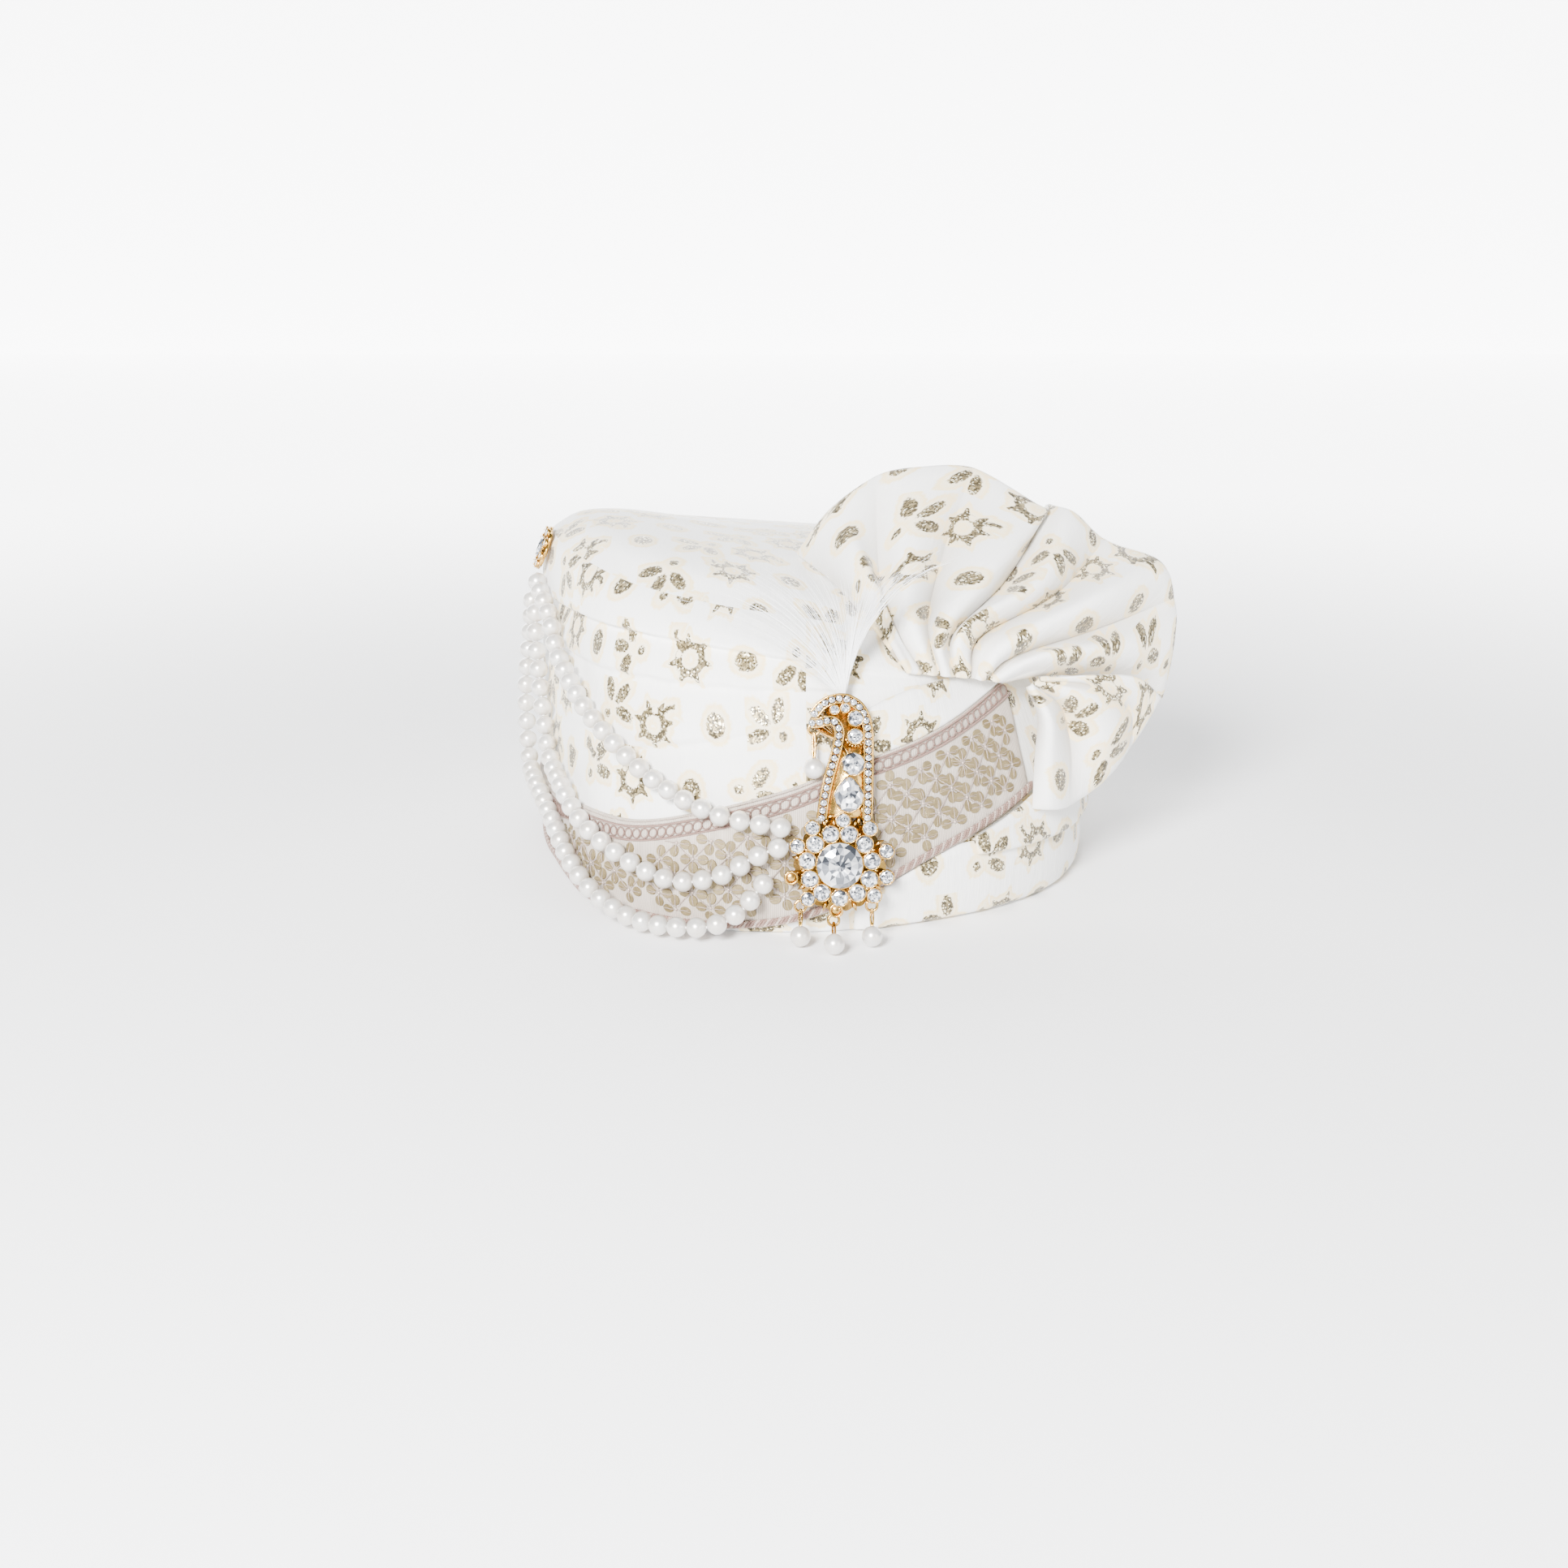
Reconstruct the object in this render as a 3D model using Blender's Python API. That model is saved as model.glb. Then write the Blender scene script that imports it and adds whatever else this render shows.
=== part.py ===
"""Tied wedding turban: wound velvet crown with a sequin band, a pleated fan, pearl strands and a jewelled brooch.

Sizes are in millimetres in the tables and become metres when a mesh is made. The turban stands on its rim at
z = 0, its front faces -Y, and azimuths turn from the front (0) over the wearer's left side, +X (90). It is built
round the crown's axis, and at the end everything moves level to put the origin under the middle of its box.
"""

import math

import bmesh
import bpy
import numpy as np
from mathutils import Matrix, Vector

MM = 0.001

# Crown, one row per section round the head: radii from the axis as shares of CROWN_RADIUS and heights of the
# wall's stations as shares of CROWN_HEIGHT.
CROWN_RADIUS = 120.0
CROWN_HEIGHT = 129.0
SECTION_COLUMNS = ("azimuth", "foot", "belly", "belly_z", "wall", "wall_z", "brow", "brow_z", "edge", "edge_z", "deck_z")
SECTIONS = (
    (0, 1.033, 1.058, 0.124, 1.017, 0.426, 0.925, 0.744, 0.758, 0.884, 0.938),
    (20, 1.008, 1.033, 0.14, 0.992, 0.403, 0.9, 0.698, 0.733, 0.829, 0.907),
    (35, 1.008, 1.033, 0.155, 0.975, 0.403, 0.867, 0.659, 0.7, 0.822, 0.915),
    (52, 1.0, 1.017, 0.155, 0.958, 0.419, 0.858, 0.667, 0.708, 0.822, 0.915),
    (66, 0.975, 0.983, 0.171, 0.942, 0.434, 0.858, 0.682, 0.725, 0.837, 0.922),
    (90, 0.942, 0.95, 0.194, 0.917, 0.465, 0.867, 0.713, 0.742, 0.868, 0.938),
    (135, 0.992, 1.017, 0.217, 0.975, 0.512, 0.917, 0.76, 0.783, 0.891, 0.938),
    (180, 1.042, 1.067, 0.233, 1.033, 0.543, 0.967, 0.775, 0.817, 0.899, 0.938),
    (225, 0.983, 1.008, 0.233, 0.975, 0.558, 0.933, 0.837, 0.825, 0.953, 0.992),
    (270, 0.9, 0.917, 0.233, 0.908, 0.589, 0.892, 0.915, 0.833, 1.031, 1.07),
    (292, 0.892, 0.908, 0.202, 0.9, 0.574, 0.875, 0.899, 0.825, 1.016, 1.062),
    (305, 0.933, 0.95, 0.186, 0.925, 0.543, 0.892, 0.868, 0.817, 0.992, 1.047),
    (320, 1.017, 1.042, 0.155, 0.992, 0.481, 0.933, 0.822, 0.817, 0.961, 1.023),
    (340, 1.05, 1.075, 0.132, 1.025, 0.45, 0.942, 0.783, 0.792, 0.922, 0.984),
)
DECK_SHARE = 0.76
CROWN_STEPS = 54
CROWN_LEVELS = (0.5, 1, 1.33, 1.66, 2, 2.25, 2.5, 2.75, 3, 3.33, 3.66, 4, 4.4, 5, 5.5)
HEAD_HALF_WIDTH = 82.0
HEAD_HALF_DEPTH = 99.0
HEAD_HEIGHT = 106.0
HEAD_STEPS = 6
RIM_LIP = 4.0

# Creases of the winding, pressed into the crown: azimuth and height at both ends, how far the middle lifts
# (shares of CROWN_HEIGHT), and shares of CREASE_DEPTH and CREASE_WIDTH.
CREASE_COLUMNS = ("azimuth_0", "z_0", "azimuth_1", "z_1", "lift", "depth", "width")
CREASES = (
    (286, 0.806, 374, 0.713, 0.035, 1.0, 1.0),
    (290, 0.705, 372, 0.69, 0.008, 0.65, 0.91),
    (316, 0.434, 372, 0.659, 0.008, 0.53, 0.91),
    (150, 0.682, 250, 0.76, 0.023, 0.53, 1.09),
    (120, 0.481, 240, 0.574, 0.023, 0.53, 1.09),
    (96, 0.264, 226, 0.388, 0.016, 0.53, 1.09),
)
CREASE_DEPTH = 3.4
CREASE_WIDTH = 5.5
CREASE_FADE = 0.12

# Sequin band and its two braids: heights of the braids' centre lines as shares of CROWN_HEIGHT.
BAND_COLUMNS = ("azimuth", "low", "high")
BAND = (
    (150, 0.031, 0.194),
    (210, 0.031, 0.194),
    (270, 0.031, 0.194),
    (285, 0.031, 0.198),
    (300, 0.031, 0.217),
    (315, 0.031, 0.256),
    (330, 0.031, 0.264),
    (345, 0.034, 0.326),
    (358, 0.062, 0.391),
    (370, 0.136, 0.465),
    (382, 0.221, 0.516),
    (395, 0.291, 0.574),
    (408, 0.357, 0.636),
)
BAND_THICK = 1.4
BAND_END_TRIM = 2.0
SEAT = 0.45
BRAID_HIGH_HALF = (2.4, 0.9)
BRAID_LOW_HALF = (1.25, 0.9)
BRAID_GAP = 0.4
BRAID_SIDES = 6
BRAID_TWIST = 0.12

# Velvet layers wound over the crown: spans of azimuth, thickness, and heights as shares of CROWN_HEIGHT.
LAYER_THICK = 2.2
LOWER_WRAP_SPAN = (8.0, 151.0)
LOWER_WRAP_FOOT = 0.8
LOWER_WRAP_LAP = 0.031
LOWER_WRAP_RISE = 0.023
UPPER_WRAP_SPAN = (30.0, 102.0)
UPPER_WRAP_FOOT = 0.194
UPPER_WRAP_SAG = 0.023
UPPER_WRAP_FALL = 0.34
UPPER_WRAP_LEAST = 0.008
FRONT_LAYER_SPAN = (9.0, 47.0)
FRONT_LAYER_DIP = 0.054
FRONT_LAYER_LIFT = 0.012

# Fan, one row per rib (crests and valleys in turn): three stations from the pinch out to the rim. Here and below,
# places in the room are shares: x and y of CROWN_RADIUS, z of CROWN_HEIGHT.
FAN_COLUMNS = ("mid_x", "mid_y", "mid_z", "outer_x", "outer_y", "outer_z", "tip_x", "tip_y", "tip_z")
FAN_RIBS = (
    (0.24, -0.817, 0.806, 0.103, -0.683, 0.936, -0.025, -0.367, 0.984),
    (0.267, -0.792, 0.833, 0.175, -0.617, 1.008, 0.079, -0.4, 1.12),
    (0.268, -0.717, 0.837, 0.233, -0.575, 0.953, 0.225, -0.342, 1.213),
    (0.323, -0.775, 0.857, 0.319, -0.617, 1.008, 0.362, -0.333, 1.24),
    (0.382, -0.692, 0.841, 0.431, -0.525, 0.992, 0.55, -0.283, 1.233),
    (0.415, -0.8, 0.826, 0.562, -0.642, 0.977, 0.762, -0.367, 1.128),
    (0.457, -0.692, 0.802, 0.642, -0.5, 0.934, 0.804, -0.25, 1.12),
    (0.49, -0.792, 0.845, 0.73, -0.625, 0.95, 0.871, -0.367, 1.109),
    (0.543, -0.692, 0.795, 0.8, -0.517, 0.891, 0.983, -0.308, 1.019),
    (0.616, -0.792, 0.797, 0.892, -0.658, 0.895, 1.142, -0.433, 0.973),
    (0.652, -0.708, 0.742, 0.935, -0.55, 0.795, 1.204, -0.383, 0.853),
    (0.742, -0.758, 0.753, 0.978, -0.642, 0.753, 1.196, -0.467, 0.736),
    (0.775, -0.667, 0.682, 0.996, -0.5, 0.62, 1.183, -0.383, 0.535),
)
PINCH_LEFT = (0.308, -0.85, 0.721)
PINCH_RIGHT = (0.608, -0.746, 0.674)
PINCH_DEPTH = 0.9
FAN_THICK = 2.6
FAN_SUB = 3
FAN_ROWS = 8

# Tail of the fan cloth hanging over the band's end, one row per rib from its left edge round to the right.
TAIL_RIBS = (
    (0.731, -0.723, 0.566, 0.725, -0.734, 0.434, 0.716, -0.773, 0.295),
    (0.758, -0.775, 0.57, 0.765, -0.765, 0.442, 0.767, -0.783, 0.295),
    (0.808, -0.658, 0.574, 0.842, -0.663, 0.446, 0.838, -0.717, 0.287),
    (0.863, -0.717, 0.612, 0.94, -0.667, 0.492, 0.929, -0.642, 0.318),
    (0.892, -0.717, 0.655, 1.033, -0.6, 0.558, 1.058, -0.533, 0.426),
    (0.887, -0.733, 0.69, 1.046, -0.658, 0.667, 1.146, -0.558, 0.585),
)
TAIL_LEFT = (0.692, -0.733, 0.655)
TAIL_RIGHT = (0.729, -0.754, 0.686)
TAIL_ROWS = 6

# Pearl strands: stations along each path as azimuth, height (share of CROWN_HEIGHT) and distance of the bead's
# centre off the crown (share of PEARL).
PEARL = 8.0
PEARL_PITCH = 8.3
PEARL_NECK = 0.7
PEARL_SIDES = 10
STRAND_COLUMNS = ("azimuth", "z", "off")
STRANDS = {
    "pearl_strand_1": (
        (282.5, 0.884, 0.537),
        (296, 0.802, 0.537),
        (301, 0.713, 0.537),
        (310, 0.64, 0.544),
        (322, 0.539, 0.537),
        (332, 0.446, 0.575),
        (345, 0.357, 0.812),
        (357.6, 0.322, 0.900),
    ),
    "pearl_strand_2": (
        (283.5, 0.806, 0.537),
        (285.5, 0.69, 0.544),
        (289, 0.597, 0.537),
        (293, 0.481, 0.537),
        (298, 0.372, 0.537),
        (311, 0.322, 0.75),
        (324, 0.233, 0.812),
        (338, 0.159, 0.800),
        (347, 0.188, 0.812),
        (352, 0.244, 0.900),
        (357.2, 0.279, 0.900),
    ),
    "pearl_strand_3": (
        (279.5, 0.829, 0.575),
        (276, 0.698, 0.62),
        (275, 0.543, 0.850),
        (276, 0.388, 0.850),
        (280, 0.279, 0.787),
        (291, 0.248, 0.787),
        (306, 0.194, 0.800),
        (317, 0.132, 0.850),
        (325.5, 0.081, 1.125),
        (334, 0.067, 1.600),
        (341, 0.071, 1.800),
        (346.5, 0.076, 1.600),
        (350.3, 0.105, 1.250),
        (354.4, 0.194, 0.925),
    ),
}

# Front brooch in its own plane: u to the right, v up from the foot of its flower, w out of the cloth.
BROOCH_HEIGHT = 74.1
BROOCH_LEAN = 12.0
BROOCH_FOOT = (0.101, -1.103, 0.128)
PLATE_THICK = 1.2
FLOWER_RADIUS = 16.6
FLOWER_DIP = 4.4
FLOWER_SIDES = 20
SHAFT_HALF_FOOT = 9.6
SHAFT_FOOT = (0.042, -0.04)
HOOK_RADIUS = 11.8
HOOK_MIDDLE = -0.2
HOOK_HOLE = (-0.153, -0.042, 0.195)
HOOK_TURN = 175.0
HOOK_SIDES = 10
PAVE_STONE = 2.6
PAVE_PITCH = 2.75
PAVE_INSET = 1.5
PAVE_NECK = 0.27
CUP_RISE = 0.9
CUP_RIM = 0.2
CUP_SIDES = 8
STONE_GAP = 0.3
CUP_GAP = 0.65
CENTRE_STONE = 16.6
CENTRE_SIDES = 12
RING_STONES = 11
RING_STONE = 5.7
OUTER_STONE = 4.6

# Stones up the shaft: place and width as shares of the shaft's length above the flower.
SHAFT_COLUMNS = ("name", "u", "v", "width")
SHAFT_STONES = (
    ("stone_shaft_low", 0.026, -0.007, 0.11),
    ("stone_shaft_mid", 0.104, 0.444, 0.181),
    ("stone_shaft_high", 0.121, 0.662, 0.119),
)
PEAR = (0.071, 0.201, 0.23, 0.278)
PEAR_SIDES = 10

# Stones round the hook and round the flower: direction in degrees, distance and width as shares of the radius.
ROUND_COLUMNS = ("name", "angle", "reach", "width")
HOOK_STONES = (
    ("stone_hook_high", 27.3, 0.553, 0.458),
    ("stone_hook_right", 73.4, 0.593, 0.271),
    ("stone_hook_left", 106.4, 0.539, 0.271),
)
OUTER_COLUMNS = ("angle", "reach")
OUTER_STONES = (
    (126.1, 1.013),
    (50.9, 1.041),
    (16.8, 1.063),
    (-14.0, 1.049),
    (-41.1, 0.999),
    (-133.3, 1.01),
    (155.4, 1.014),
)
EMPTY_CUPS = ((-165.6, 1.089), (-94.5, 0.991))
EMPTY_CUP = 4.4

# Drops on eyelets: the lower three round the flower, the upper one at the hook's tip.
EYELET = 2.0
EYELET_WIRE = 0.55
LINK = 1.7
LINK_WIRE = 0.35
LINK_HANG = 0.45
STEM = 0.45
WIRE_SIDES = 5
DROP_LEAN = 24.0
REST_GAP = 0.7
DROP_COLUMNS = ("name", "angle", "reach", "length")
FLOWER_DROPS = (
    ("drop_left", -133.6, 1.24, 11.15),
    ("drop_middle", -96.2, 1.218, 13.6),
    ("drop_right", -51.7, 1.128, 11.35),
)
HOOK_DROPS = (("drop_hook", -173.2, 0.785, 14.15),)

# Side brooch on the wearer's right temple, seen edge on from the front.
SIDE_AZIMUTH = 281.0
SIDE_HEIGHT = 0.971
SIDE_SEAT = 0.9
SIDE_TILT = 21.0
SIDE_RADIUS = 9.0
SIDE_STONE = 8.0
SIDE_RING_STONES = 8
SIDE_RING_STONE = 3.6

# Plume: strips of barbs from behind the brooch's hook, each with a bend, a tip and a share of PLUME_STRIP.
PLUME_COLUMNS = ("bend_x", "bend_y", "bend_z", "tip_x", "tip_y", "tip_z", "width")
PLUME_SEAT = (1.4, 71.0)
PLUME_HEAD = 2.6
PLUME_STRIPS = (
    (-0.042, -1.017, 0.837, -0.508, -0.867, 0.903, 0.94),
    (-0.008, -1.0, 0.899, -0.4, -0.833, 0.953, 0.94),
    (0.05, -0.983, 0.946, -0.217, -0.85, 1.016, 1.0),
    (0.133, -0.983, 0.915, 0.017, -0.867, 1.031, 1.0),
    (0.158, -0.975, 0.977, 0.25, -0.9, 1.039, 1.0),
    (0.167, -0.967, 1.008, 0.5, -0.883, 1.066, 0.88),
)
PLUME_STRIP = 3.4
PLUME_THICK = 1.0
PLUME_ROWS = 6

# Colours by slot: base colour, metallic, roughness, transmission.
SLOTS = {
    "velvet_white": ((0.90, 0.895, 0.88, 1), 0.0, 0.9, 0.0),
    "band_cloth": ((0.78, 0.74, 0.68, 1), 0.0, 0.8, 0.0),
    "braid_rose": ((0.72, 0.55, 0.47, 1), 0.4, 0.5, 0.0),
    "gold": ((0.80, 0.52, 0.20, 1), 1.0, 0.28, 0.0),
    "crystal": ((0.92, 0.94, 0.97, 1), 0.0, 0.03, 0.6),
    "pearl": ((0.93, 0.90, 0.86, 1), 0.0, 0.22, 0.0),
    "feather_white": ((0.95, 0.95, 0.95, 1), 0.0, 0.8, 0.0),
}


def hermite(before, start, end, after, share):
    """Smooth curve through start and end, heading for their neighbours."""
    s = share
    rise, fall = (end - before) / 2, (after - start) / 2
    return (
        (2 * s**3 - 3 * s**2 + 1) * start
        + (s**3 - 2 * s**2 + s) * rise
        + (-2 * s**3 + 3 * s**2) * end
        + (s**3 - s**2) * fall
    )


def through(points, place):
    """Point at a place from 0 to len - 1 on the smooth curve through all the points."""
    points = np.asarray(points, float)
    last = len(points) - 1
    i = min(int(place), last - 1)
    before = points[i - 1] if i else 2 * points[0] - points[1]
    after = points[i + 2] if i + 2 <= last else 2 * points[last] - points[last - 1]
    return hermite(before, points[i], points[i + 1], after, place - i)


def by_azimuth(table, azimuth, whole_turn):
    """Row of a table interpolated at an azimuth; a whole_turn table closes on itself."""
    rows = np.asarray(table, float)
    if whole_turn:
        azimuth %= 360
        turn = np.zeros(rows.shape[1])
        turn[0] = 360
        rows = np.vstack([rows[-1] - turn, rows, rows[0] + turn, rows[1] + turn])
    places = np.interp(azimuth, rows[:, 0], np.arange(len(rows)))
    return through(rows[:, 1:], places)


def section(azimuth):
    """Stations (radius, height) of the crown's wall and top, from the foot to the axis."""
    foot, belly, belly_z, wall, wall_z, brow, brow_z, edge, edge_z, deck_z = by_azimuth(SECTIONS, azimuth, True)
    stations = np.array(
        (
            (foot, 0),
            (belly, belly_z),
            (wall, wall_z),
            (brow, brow_z),
            (edge, edge_z),
            (edge * DECK_SHARE, deck_z),
            (0, 1),
            (-edge * DECK_SHARE, deck_z),
        )
    )
    return stations * (CROWN_RADIUS, CROWN_HEIGHT)


def spot(shares):
    """Place in the room of a row of shares x, y, z; longer rows give one place for each three."""
    places = np.array(shares, float).reshape(-1, 3) * (CROWN_RADIUS, CROWN_RADIUS, CROWN_HEIGHT)
    return places[0] if len(places) == 1 else places


def turned(azimuth, radius, z):
    a = math.radians(azimuth)
    return np.array((radius * math.sin(a), -radius * math.cos(a), z))


def wall(azimuth, z, off=0.0):
    """Point of the crown's wall at a height, moved outwards by off along the wall's normal."""
    stations = section(azimuth)
    line = np.array([through(stations, 4 * i / 60) for i in range(61)])
    radius = np.interp(z, line[:, 1], line[:, 0])
    slope = (np.interp(z + 2, line[:, 1], line[:, 0]) - np.interp(z - 2, line[:, 1], line[:, 0])) / 4
    length = math.hypot(1, slope)
    return turned(azimuth, radius + off / length, z - off * slope / length)


def crease_depth(azimuth, z):
    """How far the creases of the winding press a point of the crown in."""
    deep = 0.0
    for start, z_0, end, z_1, lift, depth, width in CREASES:
        along = ((azimuth - start) % 360) / (end - start)
        if along > 1:
            continue
        line = (z_0 + (z_1 - z_0) * along + lift * math.sin(math.pi * along)) * CROWN_HEIGHT
        fade = min(1, along / CREASE_FADE, (1 - along) / CREASE_FADE)
        deep += depth * CREASE_DEPTH * fade * math.exp(-(((z - line) / (width * CREASE_WIDTH)) ** 2))
    return deep


def crown_point(azimuth, level):
    radius, z = through(section(azimuth), level)
    share = max(0, 1 - crease_depth(azimuth, z) / max(radius, 1))
    return turned(azimuth, radius * share, z)


def material(slot):
    found = bpy.data.materials.get(slot)
    if found:
        return found
    colour, metallic, roughness, transmission = SLOTS[slot]
    made = bpy.data.materials.new(slot)
    made.use_nodes = True
    shader = made.node_tree.nodes["Principled BSDF"]
    shader.inputs["Base Color"].default_value = colour
    shader.inputs["Metallic"].default_value = metallic
    shader.inputs["Roughness"].default_value = roughness
    shader.inputs["Transmission Weight"].default_value = transmission
    made.diffuse_color = colour
    return made


def finish(bm, name, slot, smooth=True):
    """Turns a bmesh in millimetres into a named object in metres, its faces turned outwards."""
    bmesh.ops.recalc_face_normals(bm, faces=bm.faces)
    bmesh.ops.scale(bm, vec=(MM, MM, MM), verts=bm.verts)
    mesh = bpy.data.meshes.new(name)
    bm.to_mesh(mesh)
    bm.free()
    for face in mesh.polygons:
        face.use_smooth = smooth
    made = bpy.data.objects.new(name, mesh)
    made.data.materials.append(material(slot))
    bpy.context.scene.collection.objects.link(made)
    return made


def ring_faces(bm, first, second):
    count = len(first)
    for i in range(count):
        bm.faces.new((first[i], first[(i + 1) % count], second[(i + 1) % count], second[i]))


def sheet(name, slot, front, back):
    """Closed solid between two grids of points, front and back, of the same size."""
    bm = bmesh.new()
    faces = []
    for grid in (front, back):
        faces.append([[bm.verts.new(point) for point in row] for row in grid])
    near, far = faces
    rows, columns = len(near), len(near[0])
    for j in range(rows - 1):
        for i in range(columns - 1):
            bm.faces.new((near[j][i], near[j][i + 1], near[j + 1][i + 1], near[j + 1][i]))
            bm.faces.new((far[j][i], far[j + 1][i], far[j + 1][i + 1], far[j][i + 1]))
    for j in range(rows - 1):
        bm.faces.new((near[j][0], near[j + 1][0], far[j + 1][0], far[j][0]))
        bm.faces.new((near[j][-1], far[j][-1], far[j + 1][-1], near[j + 1][-1]))
    for i in range(columns - 1):
        bm.faces.new((near[0][i], far[0][i], far[0][i + 1], near[0][i + 1]))
        bm.faces.new((near[-1][i], near[-1][i + 1], far[-1][i + 1], far[-1][i]))
    return finish(bm, name, slot)


def swept(bm, path, halves, sides, outward):
    """Closed tube along a path; halves gives each station's half widths across and outwards."""
    rings = []
    for k, point in enumerate(path):
        ahead = path[min(k + 1, len(path) - 1)] - path[max(k - 1, 0)]
        ahead /= np.linalg.norm(ahead)
        out = outward[k] - ahead * float(np.dot(outward[k], ahead))
        out /= np.linalg.norm(out)
        across = np.cross(ahead, out)
        wide, tall = halves[k]
        ring = []
        for s in range(sides):
            angle = 2 * math.pi * (s + 0.5) / sides
            ring.append(bm.verts.new(point + across * wide * math.cos(angle) + out * tall * math.sin(angle)))
        rings.append(ring)
    for first, second in zip(rings, rings[1:]):
        ring_faces(bm, first, second)
    bm.faces.new(rings[0][::-1])
    bm.faces.new(rings[-1])


def evenly(path, pitch):
    """Points spread evenly along a finely drawn path, as near to a pitch apart as fills it."""
    steps = np.linalg.norm(np.diff(path, axis=0), axis=1)
    along = np.concatenate([[0], np.cumsum(steps)])
    wanted = np.linspace(0, along[-1], round(along[-1] / pitch) + 1)
    return np.stack([np.interp(wanted, along, path[:, k]) for k in range(3)], axis=1)


def union(base, others):
    """Fuses the other objects into base and removes them."""
    for k, other in enumerate(others):
        joined = base.modifiers.new(f"join_{k}", "BOOLEAN")
        joined.operation = "UNION"
        joined.solver = "EXACT"
        joined.object = other
    graph = bpy.context.evaluated_depsgraph_get()
    fused = bpy.data.meshes.new_from_object(base.evaluated_get(graph))
    base.modifiers.clear()
    base.data = fused
    for other in others:
        bpy.data.objects.remove(other)
    return base


def build_crown():
    """Wound body: creased outside, flat rim, open hollow for the head."""
    bm = bmesh.new()
    steps = [360 * i / CROWN_STEPS for i in range(CROWN_STEPS)]
    outer = [[bm.verts.new(turned(a, section(a)[0][0], 0)) for a in steps]]
    for level in CROWN_LEVELS:
        outer.append([bm.verts.new(crown_point(a, level)) for a in steps])
    top = bm.verts.new((0, 0, CROWN_HEIGHT))
    inner = []
    for j in range(HEAD_STEPS):
        rise = math.sin(math.pi / 2 * j / HEAD_STEPS)
        share = (1 - rise**3) ** (1 / 3)
        grow = 1 + (RIM_LIP / HEAD_HALF_WIDTH if j == 0 else 0)
        ring = []
        for a in steps:
            x = HEAD_HALF_WIDTH * share * grow * math.sin(math.radians(a))
            y = -HEAD_HALF_DEPTH * share * grow * math.cos(math.radians(a))
            ring.append(bm.verts.new((x, y, HEAD_HEIGHT * rise)))
        inner.append(ring)
    dome = bm.verts.new((0, 0, HEAD_HEIGHT))
    for first, second in zip(outer, outer[1:]):
        ring_faces(bm, first, second)
    for first, second in zip(inner, inner[1:]):
        ring_faces(bm, second, first)
    ring_faces(bm, inner[0], outer[0])
    for i in range(CROWN_STEPS):
        bm.faces.new((outer[-1][i], outer[-1][(i + 1) % CROWN_STEPS], top))
        bm.faces.new((inner[-1][(i + 1) % CROWN_STEPS], inner[-1][i], dome))
    finish(bm, "crown_wrap", "velvet_white")


def facets_of(span):
    """Azimuths of the crown's facet edges within a span, and the span's own ends."""
    pitch = 360 / CROWN_STEPS
    inside = [pitch * i for i in range(int(span[0] / pitch) + 1, math.ceil(span[1] / pitch))]
    return [span[0], *inside, span[1]]


def layer(name, slot, span, low, high, seat, thick, rows):
    """Cloth lying on the crown's wall between two heights, given as functions of azimuth."""
    azimuths = facets_of(span)
    front, back = [], []
    for j in range(rows + 1):
        heights = [low(a) + (high(a) - low(a)) * j / rows for a in azimuths]
        front.append([wall(a, z, seat + thick) for a, z in zip(azimuths, heights)])
        back.append([wall(a, z, seat) for a, z in zip(azimuths, heights)])
    sheet(name, slot, front, back)


def band_low(azimuth):
    return by_azimuth(BAND, azimuth if azimuth > 100 else azimuth + 360, False)[0] * CROWN_HEIGHT


def band_high(azimuth):
    return by_azimuth(BAND, azimuth if azimuth > 100 else azimuth + 360, False)[1] * CROWN_HEIGHT


def build_band():
    """Sequin band between its two braids."""
    span = (BAND[0][0] + BAND_END_TRIM, BAND[-1][0] - BAND_END_TRIM)
    foot = BRAID_LOW_HALF[0] + BRAID_GAP
    head = BRAID_HIGH_HALF[0] + BRAID_GAP
    layer(
        "sequin_band",
        "band_cloth",
        span,
        lambda a: band_low(a) + foot,
        lambda a: band_high(a) - head,
        SEAT,
        BAND_THICK,
        4,
    )
    for name, height, half in (("braid_high", band_high, BRAID_HIGH_HALF), ("braid_low", band_low, BRAID_LOW_HALF)):
        azimuths = facets_of(span)
        path = np.array([wall(a, height(a), SEAT + half[1]) for a in azimuths])
        outward = np.array([wall(a, height(a), 10) - wall(a, height(a)) for a in azimuths])
        halves = [(half[0] * (1 + (BRAID_TWIST if k % 2 else -BRAID_TWIST)), half[1]) for k in range(len(azimuths))]
        bm = bmesh.new()
        swept(bm, path, halves, BRAID_SIDES, outward)
        finish(bm, name, "braid_rose")


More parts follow.
